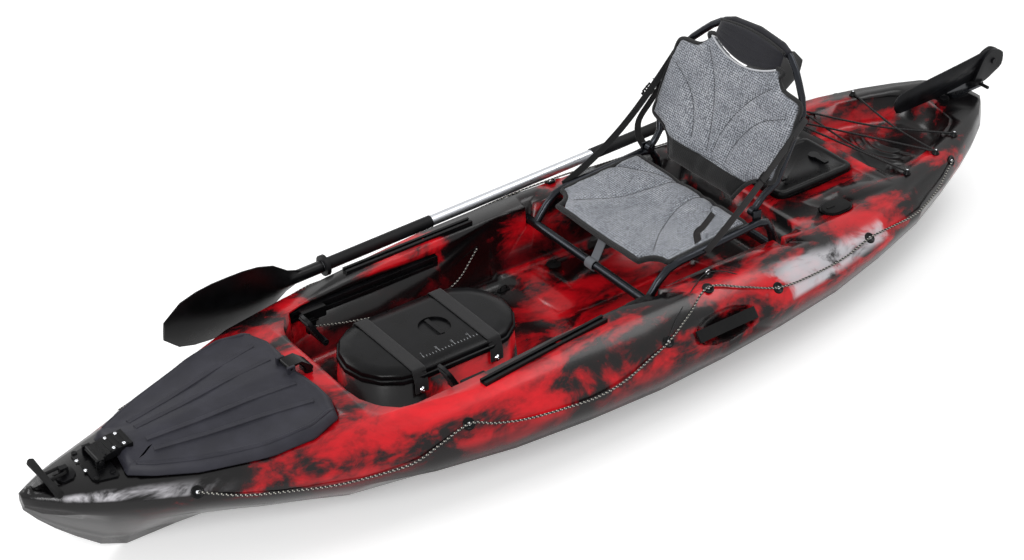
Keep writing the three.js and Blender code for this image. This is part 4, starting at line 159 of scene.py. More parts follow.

# %% [markdown]
# The hull is polyethylene powder tumbled in a hot mould. Three colours of powder are thrown in one after
# another, so the skin is a marble of bright red, near-black and, on the shoulders at the ends, a milky
# grey. That grey is laid only on faces that slope up and out, so it is partly marbling and partly a
# painted sheen. The steep sides below the rub line and the faces that look down are painted darker, as
# painted shade. The blotches are tens of centimetres long with smoky edges, and streaked along the boat
# where the powder slid. The skin is glossy but slightly wavy, like orange peel, because it cooled against
# a blasted mould.

# %% Marbled polyethylene
def marbled_polyethylene():
    finish, tree, shader = start_finish("marbled_rotomoulded_polyethylene", 0.25, IOR=1.51, Coat_Weight=0.1,
                                        Coat_Roughness=0.1, Specular_IOR_Level=0.26)
    point = add(tree, "ShaderNodeTexCoord").outputs["Object"]
    slid = add(tree, "ShaderNodeMapping", {"Vector": point, "Scale": (0.62, 1.0, 1.0)})
    # Each layer has its size in mm, then its detail, roughness and distortion.
    layers = {}
    for name, where, size, detail, rough, bent in (
            ("blotch", slid, 192.3, 5.0, 0.56, 0.5), ("smoke", slid, 83.33, 6.0, 0.62, 0.7),
            ("grain", point, 16.667, 4.0, 0.6, 0.2), ("cloud", slid, 111.1, 5.0, 0.6, 0.8),
            ("peel", point, 9, 2.0, 0.5, 0.0)):
        layers[name] = add(tree, "ShaderNodeTexNoise", {
            "Vector": where, "Scale": per_mm(size), "Detail": detail, "Roughness": rough, "Distortion": bent})
    x, y, z = add(tree, "ShaderNodeSeparateXYZ", {0: point}).outputs
    normal = add(tree, "ShaderNodeNewGeometry").outputs["Normal"]
    _, sideways, upward = add(tree, "ShaderNodeSeparateXYZ", {0: normal}).outputs
    off_middle, off_keel, tilt = [add(tree, "ShaderNodeMath", {0: value}, operation="ABSOLUTE")
                                  for value in (x, y, sideways)]
    # Each mask goes smoothly from 0 at the first value to 1 at the second.
    masks = {}
    for name, value, zero_at, one_at in (
            ("ends", off_middle, 0.75, 1.5), ("side", tilt, 0.72, 0.9), ("below_rub_line", z, 0.215, 0.17),
            ("underside", upward, -0.05, -0.5), ("sloping", tilt, 0.35, 0.62), ("not_steep", upward, 0.3, 0.5),
            ("bow", x, 1.08, 1.32), ("behind_seat", x, -0.36, -0.5), ("before_stern", x, -1.2, -1.0),
            ("gunwale", off_keel, 0.29, 0.33), ("cloudy", layers["cloud"], 0.46, 0.6)):
        masks[name] = add(tree, "ShaderNodeMapRange", {"Value": value, "From Min": zero_at, "From Max": one_at},
                          interpolation_type="SMOOTHSTEP")
    dark = 0.0
    for layer, weight in ((layers["blotch"], 0.66), (layers["smoke"], 0.34), (layers["grain"], 0.05),
                          (masks["ends"], 0.09)):
        dark = add(tree, "ShaderNodeMath", {0: layer, 1: weight, 2: dark}, operation="MULTIPLY_ADD")
    # The second and third ramps are painted shade: darker copies of the marble for the steep sides below the
    # rub line and for the faces that look down.
    skin, side_shade_ramp, underside_shade_ramp = [
        set_stops(add(tree, "ShaderNodeValToRGB", {"Fac": dark}), stops)
        for stops in ([(0.36, "#dd1420"), (0.46, "#bd0f1a"), (0.505, "#8a0b13"), (0.53, "#4a0a0f"),
                       (0.552, "#120809"), (0.6, "#060506")],
                      [(0.36, "#8c0e16"), (0.5, "#4e0a10"), (0.56, "#0e0708")],
                      [(0.4, "#3a0c10"), (0.55, "#0e090a")])]
    # Painted shade: side-facing faces below the rub line take the darker side ramp.
    painted_side_shade = add(tree, "ShaderNodeMath", {0: masks["side"], 1: masks["below_rub_line"]}, operation="MULTIPLY")
    # Milky grey on the shoulders at the ends: partly marbling through the cloud noise, and partly a painted
    # sheen, because the normal masks lay it only on faces that slope up and out.
    milky_marble_and_sheen = masks["behind_seat"]
    for factor, operation in (
            (masks["before_stern"], "MULTIPLY"), (masks["gunwale"], "MULTIPLY"), (masks["bow"], "MAXIMUM"),
            (masks["sloping"], "MULTIPLY"), (masks["not_steep"], "MULTIPLY"), (masks["cloudy"], "MULTIPLY"),
            (0.8, "MULTIPLY")):
        milky_marble_and_sheen = add(tree, "ShaderNodeMath", {0: milky_marble_and_sheen, 1: factor}, operation=operation)
    colour = skin
    for mask, other in ((painted_side_shade, side_shade_ramp), (masks["underside"], underside_shade_ramp), (milky_marble_and_sheen, linear("#cfcdd2"))):
        colour = add(tree, "ShaderNodeMix", {0: mask, 6: colour, 7: other}, data_type="RGBA")
    link(tree, colour, shader.inputs["Base Color"])
    raise_bump(tree, shader, layers["peel"], 0.5 * MM, 0.25, edge=7 * MM)
    return finish


HULL_SKIN = marbled_polyethylene()
print("made", HULL_SKIN.name)

# %% [markdown]
# The black fittings are injection-moulded nylon. Their moulds are spark-eroded, which leaves a fine even
# grain that breaks up highlights. The big hatch lid is rotomoulded and matte, a little lighter and dustier
# than the nylon. Soft rubber has no gloss at all. One recipe makes all of them, with a different grain,
# roughness and colour.

# %% Moulded plastics and rubber
DRIFT_MM = 71.43


def moulded(name, colour, worn, roughness, grain_mm, grain_depth, specular=0.5, edge=1.2 * MM):
    finish, tree, shader = start_finish(name, roughness, IOR=1.49, Specular_IOR_Level=specular)
    point = add(tree, "ShaderNodeTexCoord").outputs["Object"]
    drift = add(tree, "ShaderNodeTexNoise", {"Vector": point, "Scale": per_mm(DRIFT_MM), "Detail": 4.0,
                                             "Roughness": 0.6})
    wear = add(tree, "ShaderNodeMapRange", {"Value": drift, "From Min": 0.35, "From Max": 0.75},
               interpolation_type="SMOOTHSTEP")
    tint = add(tree, "ShaderNodeMix", {0: wear, 6: linear(colour), 7: linear(worn)}, data_type="RGBA")
    link(tree, tint, shader.inputs["Base Color"])
    grain = add(tree, "ShaderNodeTexNoise", {"Vector": point, "Scale": per_mm(grain_mm), "Detail": 2.0})
    raise_bump(tree, shader, grain, grain_depth * MM, 0.5, edge)
    uneven = add(tree, "ShaderNodeMath", {0: drift, 1: 0.16, 2: roughness - 0.08}, operation="MULTIPLY_ADD")
    link(tree, uneven, shader.inputs["Roughness"])
    return finish


NYLON = moulded("injection_moulded_black_nylon", "#070708", "#101012", 0.28, 1.4, 0.10, 0.14)
SATIN_NYLON = moulded("satin_moulded_black_nylon", "#0b0b0d", "#17181b", 0.4, 1.6, 0.12, 0.15)
LID_SKIN = moulded("matte_rotomoulded_lid_polyethylene", "#26262d", "#303038", 0.5, 2.2, 0.22, 0.22, 4 * MM)
RUBBER = moulded("soft_moulded_rubber", "#0b0b0c", "#151515", 0.7, 2.0, 0.10, 0.16)
GRIP_RUBBER = moulded("heat_shrunk_grip_sleeve", "#0b0b0d", "#141416", 0.55, 1.2, 0.12, 0.2)
BLADE_NYLON = moulded("glass_filled_nylon_blade", "#060607", "#0e0e10", 0.3, 1.8, 0.08, 0.24)
print("made", NYLON.name, SATIN_NYLON.name, LID_SKIN.name, RUBBER.name)

# %% [markdown]
# Three metals show. Bolts and screws are stainless steel, bright and a little brushed.
# The paddle shaft is drawn aluminium with a clear anodised skin, which makes the sheen softer and whiter.
# The seat tubes are aluminium under dark powder coat, and still show a long bluish highlight.
# A drawn tube has faint lines along its length, so its noise is stretched one way.

# %% Metals
def metal(name, colour, dull, roughness, stretch, metallic=1.0):
    finish, tree, shader = start_finish(name, roughness, metallic)
    point = add(tree, "ShaderNodeMapping", {"Vector": add(tree, "ShaderNodeTexCoord").outputs["Object"],
                                            "Scale": stretch})
    lines = add(tree, "ShaderNodeTexNoise", {"Vector": point, "Scale": per_mm(3), "Detail": 3.0,
                                             "Roughness": 0.6})
    tint = add(tree, "ShaderNodeMix", {0: lines, 6: linear(colour), 7: linear(dull)}, data_type="RGBA")
    link(tree, tint, shader.inputs["Base Color"])
    uneven = add(tree, "ShaderNodeMath", {0: lines, 1: 0.12, 2: roughness - 0.06}, operation="MULTIPLY_ADD")
    link(tree, uneven, shader.inputs["Roughness"])
    return finish


STAINLESS = metal("brushed_stainless_steel", "#e2e3e6", "#b9bbc0", 0.22, (1, 1, 1))
SHAFT_METAL = metal("clear_anodised_aluminium", "#d6d8dc", "#c0c3c8", 0.36, (0.05, 1, 1))
TUBE_METAL = metal("dark_anodised_aluminium", "#2a2c31", "#1d1f23", 0.26, (0.2, 0.2, 1), 0.8)
print("made", STAINLESS.name, SHAFT_METAL.name, TUBE_METAL.name)

# %% [markdown]
# Three kinds of mesh come up again and again: a round tube along a path, a flat ribbon along a path, and a
# grid. Each is written once here. The tube and the ribbon also store how far along and how far round each
# point is, because a cord's flecks and a strap's weave follow the cord and not the room.

# %% Mesh helpers
SIDES = {"port": 1, "starboard": -1}
STRAP_SECTION = [(-0.5, -0.35), (-0.5, 0.35), (-0.4, 0.5), (-0.25, 0.42), (0, 0.5), (0.25, 0.42), (0.4, 0.5),
                 (0.5, 0.35), (0.5, -0.35), (0.4, -0.5), (0, -0.42), (-0.4, -0.5)]


def smooth_path(points, steps):
    """A Catmull-Rom curve through the points, cut into steps of equal share."""
    points = [Vector(p) for p in points]
    ends = [points[0] * 2 - points[1]] + points + [points[-1] * 2 - points[-2]]
    spans = len(points) - 1
    path = []
    for i in range(steps + 1):
        place = min(i / steps * spans, spans - 1e-9)
        span, t = int(place), place - int(place)
        a, b, c, d = ends[span:span + 4]
        path.append(0.5 * ((2 * b) + (c - a) * t + (2 * a - 5 * b + 4 * c - d) * t * t
                           + (3 * b - a - 3 * c + d) * t ** 3))
    return path


def piece_from(name, corners, faces, finish, body, flat=False, along_across=None):
    mesh = bpy.data.meshes.new(name)
    mesh.from_pydata([tuple(c) for c in corners], [], faces)
    if along_across:
        layer = mesh.uv_layers.new(name="along_across")
        for face in mesh.polygons:
            for loop, corner in zip(face.loop_indices, along_across[face.index]):
                layer.data[loop].uv = corner
    bm = bmesh.new()
    bm.from_mesh(mesh)
    bmesh.ops.recalc_face_normals(bm, faces=bm.faces)
    bm.to_mesh(mesh)
    bm.free()
    mesh.polygons.foreach_set("use_smooth", [not flat] * len(mesh.polygons))
    made = bpy.data.objects.new(name, mesh)
    made.data.materials.append(finish)
    bpy.context.scene.collection.objects.link(made)
    if body:
        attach(made, body)
    return made


def frames_along(path):
    """For each point of a path its heading, and two directions square to it that don't twist."""
    result, side = [], None
    for i, point in enumerate(path):
        heading = (path[min(i + 1, len(path) - 1)] - path[max(i - 1, 0)]).normalized()
        side = heading.cross(Vector((0, 0, 1))) if side is None else side - heading * side.dot(heading)
        side.normalize()
        result.append((point, heading, side, side.cross(heading)))
    return result


def tube(name, path, radius, finish, body, sides=8, closed=False):
    corners, faces, marks = [], [], []
    run, distance = [], 0.0
    if closed:
        path = list(path) + [path[0]]
    for i, (point, _, side, up) in enumerate(frames_along(path)):
        distance += (point - path[i - 1]).length if i else 0.0
        run.append(distance)
        size = radius(i / (len(path) - 1)) if callable(radius) else radius
        for k in range(sides):
            turn = 2 * math.pi * k / sides
            corners.append(point + (side * math.cos(turn) + up * math.sin(turn)) * size)
    for i in range(len(path) - 1):
        for k in range(sides):
            a, b = i * sides + k, i * sides + (k + 1) % sides
            faces.append((a, b, b + sides, a + sides))
            marks.append(((run[i], k / sides), (run[i], (k + 1) / sides), (run[i + 1], (k + 1) / sides),
                          (run[i + 1], k / sides)))
    for ring in (range(sides - 1, -1, -1), range(len(corners) - sides, len(corners))):
        faces.append(tuple(ring))
        marks.append(((0, 0),) * sides)
    return piece_from(name, corners, faces, finish, body, along_across=marks)


def ribbon(name, path, widths, width, thick, finish, body):
    """A flat strap: widths gives for each point the direction that its width lies in."""
    corners, faces, marks = [], [], []
    distance, run = 0.0, []
    for i, point in enumerate(path):
        distance += (point - path[i - 1]).length if i else 0.0
        run.append(distance)
        heading = (path[min(i + 1, len(path) - 1)] - path[max(i - 1, 0)]).normalized()
        across = Vector(widths[i]) - heading * Vector(widths[i]).dot(heading)
        across.normalize()
        face = heading.cross(across)
        corners += [point + across * (u * width) + face * (v * thick) for u, v in STRAP_SECTION]
    count = len(STRAP_SECTION)
    for i in range(len(path) - 1):
        for k in range(count):
            a, b = i * count + k, i * count + (k + 1) % count
            faces.append((a, b, b + count, a + count))
            u, w = STRAP_SECTION[k][0] * width, STRAP_SECTION[(k + 1) % count][0] * width
            marks.append(((run[i], u), (run[i], w), (run[i + 1], w), (run[i + 1], u)))
    for ring in (range(count - 1, -1, -1), range(len(corners) - count, len(corners))):
        faces.append(tuple(ring))
        marks.append(((0, 0),) * count)
    return piece_from(name, corners, faces, finish, body, along_across=marks)


def turned(name, profile, place, up, finish, body, sides=20):
    """A small turned piece, such as a screw head: its profile is a list of radius and height in mm."""
    basis = Vector((0, 0, 1)).rotation_difference(Vector(up).normalized()).to_matrix()
    corners, faces = [], []
    for radius, height in profile:
        for k in range(sides):
            turn = 2 * math.pi * k / sides
            point = Vector((radius * math.cos(turn), radius * math.sin(turn), height))
            corners.append(Vector(place) + basis @ point * MM)
    for i in range(len(profile) - 1):
        for k in range(sides):
            a, b = i * sides + k, i * sides + (k + 1) % sides
            faces.append((a, b, b + sides, a + sides))
    faces += [tuple(range(sides - 1, -1, -1)), tuple(range(len(corners) - sides, len(corners)))]
    return piece_from(name, corners, faces, finish, body)


def joined(name, pieces, body):
    """Several small pieces of one kind, such as a row of screws, made into one."""
    bm = bmesh.new()
    for part in pieces:
        bm.from_mesh(part.data)
    mesh = bpy.data.meshes.new(name)
    finish = pieces[0].data.materials[0]
    bm.to_mesh(mesh)
    bm.free()
    for part in pieces:
        bpy.data.objects.remove(part)
    mesh.materials.append(finish)
    made = bpy.data.objects.new(name, mesh)
    bpy.context.scene.collection.objects.link(made)
    if body:
        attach(made, body)
    return made


def length_of(path):
    return sum((b - a).length for a, b in zip(path, path[1:]))


def felt(piece, start, direction=Vector((0, 0, -1))):
    """Where a ray from start meets a piece, or None."""
    hit, place, _, _ = piece.ray_cast(start, direction)
    return place if hit else None


print("mesh helpers ready")

# %% [markdown]
# The perimeter line is 5 mm braided polyester, black with a tracer thread that shows as a row of pale flecks.
# A real fleck is about 2 mm long, less than a pixel here, so it is drawn up to 4.6 mm long to be seen.
# The bungees have the same braid, with a tracer so dark that it hardly shows.

# %% Cord finishes
TRACER_PITCH_MM, BACK_STRAND_PITCH_MM, BACK_STRAND_SHARE = 11, -5.5, 0.55


def braided_cord(name, colour, fleck, fleck_share):
    finish, tree, shader = start_finish(name, 0.62, Specular_IOR_Level=0.35)
    run, turn, _ = add(tree, "ShaderNodeSeparateXYZ", {0: add(tree, "ShaderNodeUVMap")}).outputs
    flecks, waves = [], []
    for pitch, share in ((TRACER_PITCH_MM, fleck_share), (BACK_STRAND_PITCH_MM, BACK_STRAND_SHARE)):
        wound = add(tree, "ShaderNodeMath", {0: run, 1: per_mm(pitch), 2: turn}, operation="MULTIPLY_ADD")
        strand = add(tree, "ShaderNodeMath", {0: wound}, operation="FRACT")
        flecks.append(add(tree, "ShaderNodeMath", {0: strand, 1: share}, operation="LESS_THAN"))
        waves.append(ripple(tree, strand, 1))
    tracer = add(tree, "ShaderNodeMath", {0: flecks[0], 1: flecks[1]}, operation="MULTIPLY")
    tint = add(tree, "ShaderNodeMix", {0: tracer, 6: linear(colour), 7: linear(fleck)}, data_type="RGBA")
    link(tree, tint, shader.inputs["Base Color"])
    plait = add(tree, "ShaderNodeMath", {0: waves[0], 1: waves[1]}, operation="ADD")
    raise_bump(tree, shader, plait, 0.5 * MM, 0.6)
    return finish


FLECKED_CORD = braided_cord("braided_polyester_line_with_tracer", "#0d0d0e", "#c9c6bd", 0.42)
BLACK_BUNGEE = braided_cord("braided_sleeve_of_bungee", "#0a0a0b", "#2a2a2c", 0.3)
print("made", FLECKED_CORD.name, BLACK_BUNGEE.name)

# %% [markdown]
# The line runs through seven eyelets on each shoulder, and hangs below the rub edge at the bow where it is
# slack. Its points are those of the frame's own line, so it lies on the hull. Between eyelets it keeps a
# cord's soft curve. Each eyelet is a black cup with a bright rivet in it.

# %% Perimeter lines
DECK_LINE = [(1.1812, .1932, .2244), (1.0925, .2422, .2038), (1.0017, .275, .1914), (.8914, .3159, .1833),
             (.7811, .3466, .1841), (.7014, .3703, .1958), (.6306, .3701, .2144), (.5414, .3669, .2351),
             (.4804, .3863, .2212), (.4005, .407, .2102), (.3005, .4221, .205), (.2004, .4324, .2035),
             (.1102, .4296, .2134), (.02, .4137, .2313), (-.048, .4008, .2456), (-.14, .3696, .2742),
             (-.2321, .3338, .2999), (-.3311, .3621, .2756), (-.4302, .3868, .2484), (-.5402, .3876, .2414),
             (-.6703, .3771, .2407), (-.7903, .3546, .2494), (-.8804, .3473, .247), (-.9859, .3364, .2456),
             (-1.1017, .2972, .2565), (-1.2192, .2392, .2841)]
LINE_RADIUS = 2.5 * MM
EYELETS = [((1.18, .1899, .2216), (.278, .731, .623)), ((.541, .3635, .2323), (.1, .767, .634)),
           ((-.048, .3975, .2425), (-.003, .737, .676)), ((-.232, .3322, .2957), (-.016, .365, .931)),
           ((-.43, .3836, .2453), (-.042, .715, .697)), ((-.79, .3516, .246), (-.065, .646, .76)),
           ((-1.218, .2354, .2821), (-.276, .853, .442))]
CUP = [(0, -4), (15, -4), (16, 1), (15, 2.2), (13, 2.4), (11, 1.4), (9, 0.6), (0, 0.4)]
RIVET = [(0, 0.4), (4.6, 0.4), (4.6, 2.6), (3.6, 3.8), (1.6, 4.4), (0, 4.5)]

for side, sign in SIDES.items():
    path = smooth_path([(x, sign * y, z) for x, y, z in DECK_LINE], 220)
    line = tube(f"perimeter_line_{side}", path, LINE_RADIUS, FLECKED_CORD, "hull")
    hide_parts(f"deck_line_{side}")
    cups, rivets = [], []
    for i, ((x, y, z), (a, b, c)) in enumerate(EYELETS):
        place, up = (x, sign * y, z), (a, sign * b, c)
        cups.append(turned(f"cup_{side}_{i}", CUP, place, up, NYLON, "hull", 24))
        rivets.append(turned(f"rivet_{side}_{i}", RIVET, place, up, STAINLESS, "hull", 16))
    joined(f"eyelet_cups_{side}", cups, "hull")
    joined(f"eyelet_rivets_{side}", rivets, "hull")
    print(line.name, "length", round(length_of(path), 3))

# %% [markdown]
# The rudder is worked by a thinner line that leaves each foot pedal, droops along the footwell wall,
# and goes through a small fairlead into the hull. Bungees cross the tank well from pad eye to pad eye.
# They are stretched, so they run nearly straight.

# %% Rudder lines and bungees
FAIRLEAD = (.072, .268, .232)
FAIRLEAD_PROFILE = [(0, -2), (10, -2), (10, 4), (7, 9), (5, 11), (0, 11)]
RUDDER_LINE_RADIUS = 2 * MM
RUDDER_LINES = {"port": [(.454, .2236, .2175), (.3585, .2156, .1875), (.2439, .2036, .1695),
                         (.1484, .2116, .1815), (.072, .255, .232)],
                "starboard": [(.61, -.2236, .2175), (.4755, -.2156, .1875), (.3141, -.2036, .1695),
                              (.1796, -.2116, .1815), (.072, -.255, .232)]}
for side, points in RUDDER_LINES.items():
    path = smooth_path(points, 90)
    line = tube(f"steering_line_{side}", path, RUDDER_LINE_RADIUS, FLECKED_CORD, "hull")
    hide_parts(f"rudder_line_{side}")
    x, y, z = FAIRLEAD
    sign = SIDES[side]
    turned(f"fairlead_{side}", FAIRLEAD_PROFILE, (x, sign * y, z), (0, -sign, 0), NYLON, "hull", 18)
    print(line.name, "length", round(length_of(path), 3))

BUNGEE_EYES = [(-1.002, -.214, .2825), (-1.062, -.218, .2885), (-1.24, -.184, .3026), (-1.06, .218, .2883),
               (-1.19, .2, .2989), (-1.296, .168, .3064)]
BUNGEE_RUNS = [(0, 3), (0, 4), (1, 3), (1, 5), (2, 4)]
BUNGEE_RADIUS = 3 * MM
BUNGEE_LIFT = 6.5 * MM
BUNGEE_SAG = 14 * MM
PAD_EYE = [(0, -2), (11, -2), (11, 2), (8, 4), (7, 9), (5, 12), (0, 13)]
PAD_EYE_RIVET = [(0, 12), (3.5, 12), (3, 13.8), (0, 14.2)]
runs = []
for a, b in BUNGEE_RUNS:
    first, last = [Vector(BUNGEE_EYES[i]) + Vector((0, 0, BUNGEE_LIFT)) for i in (a, b)]
    middle = first.lerp(last, 0.5) - Vector((0, 0, 0 if a == 0 else BUNGEE_SAG))
    path = smooth_path([first, middle, last], 30)
    runs.append(tube(f"run_{a}_{b}", path, BUNGEE_RADIUS, BLACK_BUNGEE, "hull"))
bungees = joined("tank_bungees", runs, "hull")
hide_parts("tank_bungee")
eyes = [turned(f"eye_{i}", PAD_EYE, place, (0, 0, 1), NYLON, "hull", 18) for i, place in enumerate(BUNGEE_EYES)]
joined("bungee_pad_eyes", eyes, "hull")
studs = [turned(f"stud_{i}", PAD_EYE_RIVET, place, (0, 0, 1), STAINLESS, "hull", 12)
         for i, place in enumerate(BUNGEE_EYES)]
joined("bungee_eye_rivets", studs, "hull")
print("bungee runs", len(runs))

# %% [markdown]
# The seat is a sling of spacer mesh: two knitted faces held apart by a forest of stiff threads, about 10 mm
# thick. Its outer face shows rows of small holes about 3 mm apart, so the grey looks lighter where the knit
# is tight. Black woven polyester edges it and covers its foot. The holes are drawn 6 to 7 mm apart, twice
# their real pitch, because the true ones are smaller than a pixel here and would melt into flat grey.

# %% Fabrics
BACK_LEAN = 0.4
BACK_PIVOT = Vector((-.486, 0, .372))
HOLE_ROW_PITCH, HOLE_FILE_PITCH = 12 * MM, 13.5 * MM
BLACK_BAND_TOP = 61 * MM
FADE_MM, CLOTH_DRIFT_MM = 62.5, 50


def spacer_mesh(name, lean=0.0, shift=0.0, dark_below=None):
    """Grey knit. lean turns its rows onto a leaning pad, and dark_below is where its black foot ends."""
    finish, tree, shader = start_finish(name, 0.85, Sheen_Weight=0.2, Sheen_Roughness=0.5,
                                        Specular_IOR_Level=0.25)
    point = add(tree, "ShaderNodeMapping", {"Vector": add(tree, "ShaderNodeTexCoord").outputs["Object"],
                                            "Rotation": (0, lean, 0), "Location": (0, 0, shift)})
    ahead, across, above = add(tree, "ShaderNodeSeparateXYZ", {0: point}).outputs
    up = above if lean else ahead
    rows, files = ripple(tree, up, HOLE_ROW_PITCH), ripple(tree, across, HOLE_FILE_PITCH)
    checks = add(tree, "ShaderNodeMath", {0: rows, 1: files}, operation="MULTIPLY")
    holes = add(tree, "ShaderNodeMath", {0: checks}, operation="ABSOLUTE")
    faded = add(tree, "ShaderNodeTexNoise", {"Vector": point, "Scale": per_mm(FADE_MM), "Detail": 4.0,
                                             "Roughness": 0.6})
    light = set_stops(add(tree, "ShaderNodeValToRGB", {"Fac": faded}),
                      [(0.3, "#9da1a8"), (0.5, "#b0b4bb"), (0.7, "#c2c5cb")])
    fuzz = add(tree, "ShaderNodeTexNoise", {"Vector": point, "Scale": per_mm(5), "Detail": 3.0,
                                            "Roughness": 0.7})
    solid, thick = [add(tree, "ShaderNodeMapRange", {"Value": value, "From Min": low, "From Max": high},
                        interpolation_type="SMOOTHSTEP")
                    for value, low, high in ((holes, 0.95, 0.2), (fuzz, 0.3, 0.62))]
    knit = add(tree, "ShaderNodeMath", {0: solid, 1: thick}, operation="MULTIPLY")
    tint = add(tree, "ShaderNodeMix", {0: knit, 6: linear("#4c4f56"), 7: light}, data_type="RGBA")
    if dark_below is not None:
        low, high = dark_below - 1 * MM, dark_below + 1 * MM
        edge = add(tree, "ShaderNodeMapRange", {"Value": up, "From Min": low, "From Max": high},
                   interpolation_type="SMOOTHSTEP")
        tint = add(tree, "ShaderNodeMix", {0: edge, 6: linear("#101011"), 7: tint}, data_type="RGBA")
    link(tree, tint, shader.inputs["Base Color"])
    raise_bump(tree, shader, knit, 0.6 * MM, 0.6)
    return finish


def woven(name, colour, rib, pitch, roughness=0.75):
    """Webbing and binding: ribs across the run, from the strap's own lengthwise coordinate. The raised ribs
    take the lighter rib colour as a painted sheen, and the hollows between them the darker colour as painted
    shade.
    """
    finish, tree, shader = start_finish(name, roughness, Sheen_Weight=0.1, Specular_IOR_Level=0.3)
    run, width, _ = add(tree, "ShaderNodeSeparateXYZ", {0: add(tree, "ShaderNodeUVMap")}).outputs
    ribs, cords = ripple(tree, run, pitch), ripple(tree, width, pitch * 1.6)
    weave = add(tree, "ShaderNodeMath", {0: ribs, 1: cords}, operation="MULTIPLY")
    # Painted sheen and shade: the raised parts of the weave are coloured lighter and the hollows darker.
    high = add(tree, "ShaderNodeMapRange", {"Value": weave, "From Min": -0.2, "From Max": 0.8},
               interpolation_type="SMOOTHSTEP")
    tint = add(tree, "ShaderNodeMix", {0: high, 6: linear(colour), 7: linear(rib)}, data_type="RGBA")
    link(tree, tint, shader.inputs["Base Color"])
    raise_bump(tree, shader, weave, 0.4 * MM, 0.7)
    return finish


def plain_cloth(name, colour, worn, thread, roughness=0.8):
    finish, tree, shader = start_finish(name, roughness, Sheen_Weight=0.15, Specular_IOR_Level=0.25)
    point = add(tree, "ShaderNodeTexCoord").outputs["Object"]
    _, across, above = add(tree, "ShaderNodeSeparateXYZ", {0: point}).outputs
    weave = add(tree, "ShaderNodeMath", {0: ripple(tree, across, thread), 1: ripple(tree, above, thread)},
                operation="MULTIPLY")
    drift = add(tree, "ShaderNodeTexNoise", {"Vector": point, "Scale": per_mm(CLOTH_DRIFT_MM), "Detail": 4.0,
                                             "Roughness": 0.6})
    tint = add(tree, "ShaderNodeMix", {0: drift, 6: linear(colour), 7: linear(worn)}, data_type="RGBA")
    link(tree, tint, shader.inputs["Base Color"])
    raise_bump(tree, shader, weave, 0.35 * MM, 0.5)
    return finish


PAN_MESH = spacer_mesh("grey_knitted_spacer_mesh_of_pan")
BACK_MESH = spacer_mesh("grey_knitted_spacer_mesh_of_back", BACK_LEAN,
                        BACK_PIVOT.x * math.sin(BACK_LEAN) - BACK_PIVOT.z * math.cos(BACK_LEAN), BLACK_BAND_TOP)
BINDING = woven("black_woven_edge_binding", "#0c0c0d", "#1d1d1f", 2.5 * MM)
WEBBING = woven("black_woven_polypropylene_webbing", "#0b0b0c", "#1f1f21", 3.0 * MM)
GREY_WEBBING = woven("grey_woven_polyester_webbing", "#5c5f64", "#7d8085", 3.0 * MM)
HEAD_CLOTH = plain_cloth("black_coated_nylon_cloth", "#131318", "#1d1d24", 2.2 * MM)
LIGHT_PIPING = woven("silver_reflective_piping", "#d8dade", "#b9bcc2", 2.0 * MM)
print("made", PAN_MESH.name, WEBBING.name)

# %% [markdown]
# The pads are blown up a little by cloth simulation, because foam between two sewn faces swells between its
# seams. The frame's own soft solid is copied, remeshed to an even 5 mm, and inflated with no gravity for 20
# frames. A cap keeps any point from moving far, so the pad stays in its place in the frame. Seams are
# pressed in afterwards.

# %% Inflating a pad
SWELL_FRAMES = 20


def swollen(name, node, voxel, pressure, cap, finish, body):
    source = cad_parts[node]
    bm = bmesh.new()
    bm.from_mesh(source.data)
    bmesh.ops.remove_doubles(bm, verts=bm.verts, dist=1e-5)
    bmesh.ops.triangulate(bm, faces=bm.faces)
    mesh = bpy.data.meshes.new(name)
    bm.to_mesh(mesh)
    bm.free()
    pad = bpy.data.objects.new(name, mesh)
    bpy.context.scene.collection.objects.link(pad)
    remesh = pad.modifiers.new("even", "REMESH")
    remesh.mode = "VOXEL"
    remesh.voxel_size = voxel
    pad.modifiers.new("calm", "SMOOTH").iterations = 4
    settle(pad)
    before = [v.co.copy() for v in pad.data.vertices]
    cloth = pad.modifiers.new("swell", "CLOTH")
    cloth.settings.use_pressure = True
    cloth.settings.uniform_pressure_force = pressure
    cloth.settings.effector_weights.gravity = 0
    cloth.settings.quality = 5
    cloth.settings.mass = 0.2
    for step in range(1, SWELL_FRAMES + 1):
        bpy.context.scene.frame_set(step)
    settle(pad)
    for vertex, rest in zip(pad.data.vertices, before):
        move = vertex.co - rest
        if move.length > cap:
            vertex.co = rest + move.normalized() * cap
    bpy.context.scene.frame_set(1)
    pad.data.materials.clear()
    pad.data.materials.append(finish)
    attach(pad, body)
    return pad


def settle(piece):
    """Applies a piece's modifiers to its mesh."""
    shape = bpy.data.meshes.new_from_object(piece.evaluated_get(bpy.context.evaluated_depsgraph_get()))
    piece.modifiers.clear()
    piece.data = shape
    shape.polygons.foreach_set("use_smooth", [True] * len(shape.polygons))


def press_seams(pad, seams, flat_point, depth, width, ahead):
    """Presses sewn lines into the face that looks ahead. flat_point lays a vertex flat in the pad's plane."""
    pad.data.update()
    normals = [v.normal.copy() for v in pad.data.vertices]
    for vertex, normal in zip(pad.data.vertices, normals):
        if normal.dot(ahead) < 0.2:
            continue
        place = flat_point(vertex.co)
        nearest = min((place - p).length for seam in seams for p in seam)
        vertex.co -= ahead * depth * math.exp(-(nearest / width) ** 2)


print("pad helpers ready")

# %% [markdown]
# The pan is the sling that the paddler sits on. Four curved seams fan out over it, sewn through with dark
# thread. Its front corners are cut away round, so the frame's corners show. Black binding runs round its
# edge.

# %% Seat pan
PAD_VOXEL = 5 * MM
PAD_PRESSURE = 4.0
SEAM_DEPTH, SEAM_WIDTH = 5.5 * MM, 9 * MM


def laid_flat(seams):
    return [[(a, b, 0) for a, b in seam] for seam in seams]


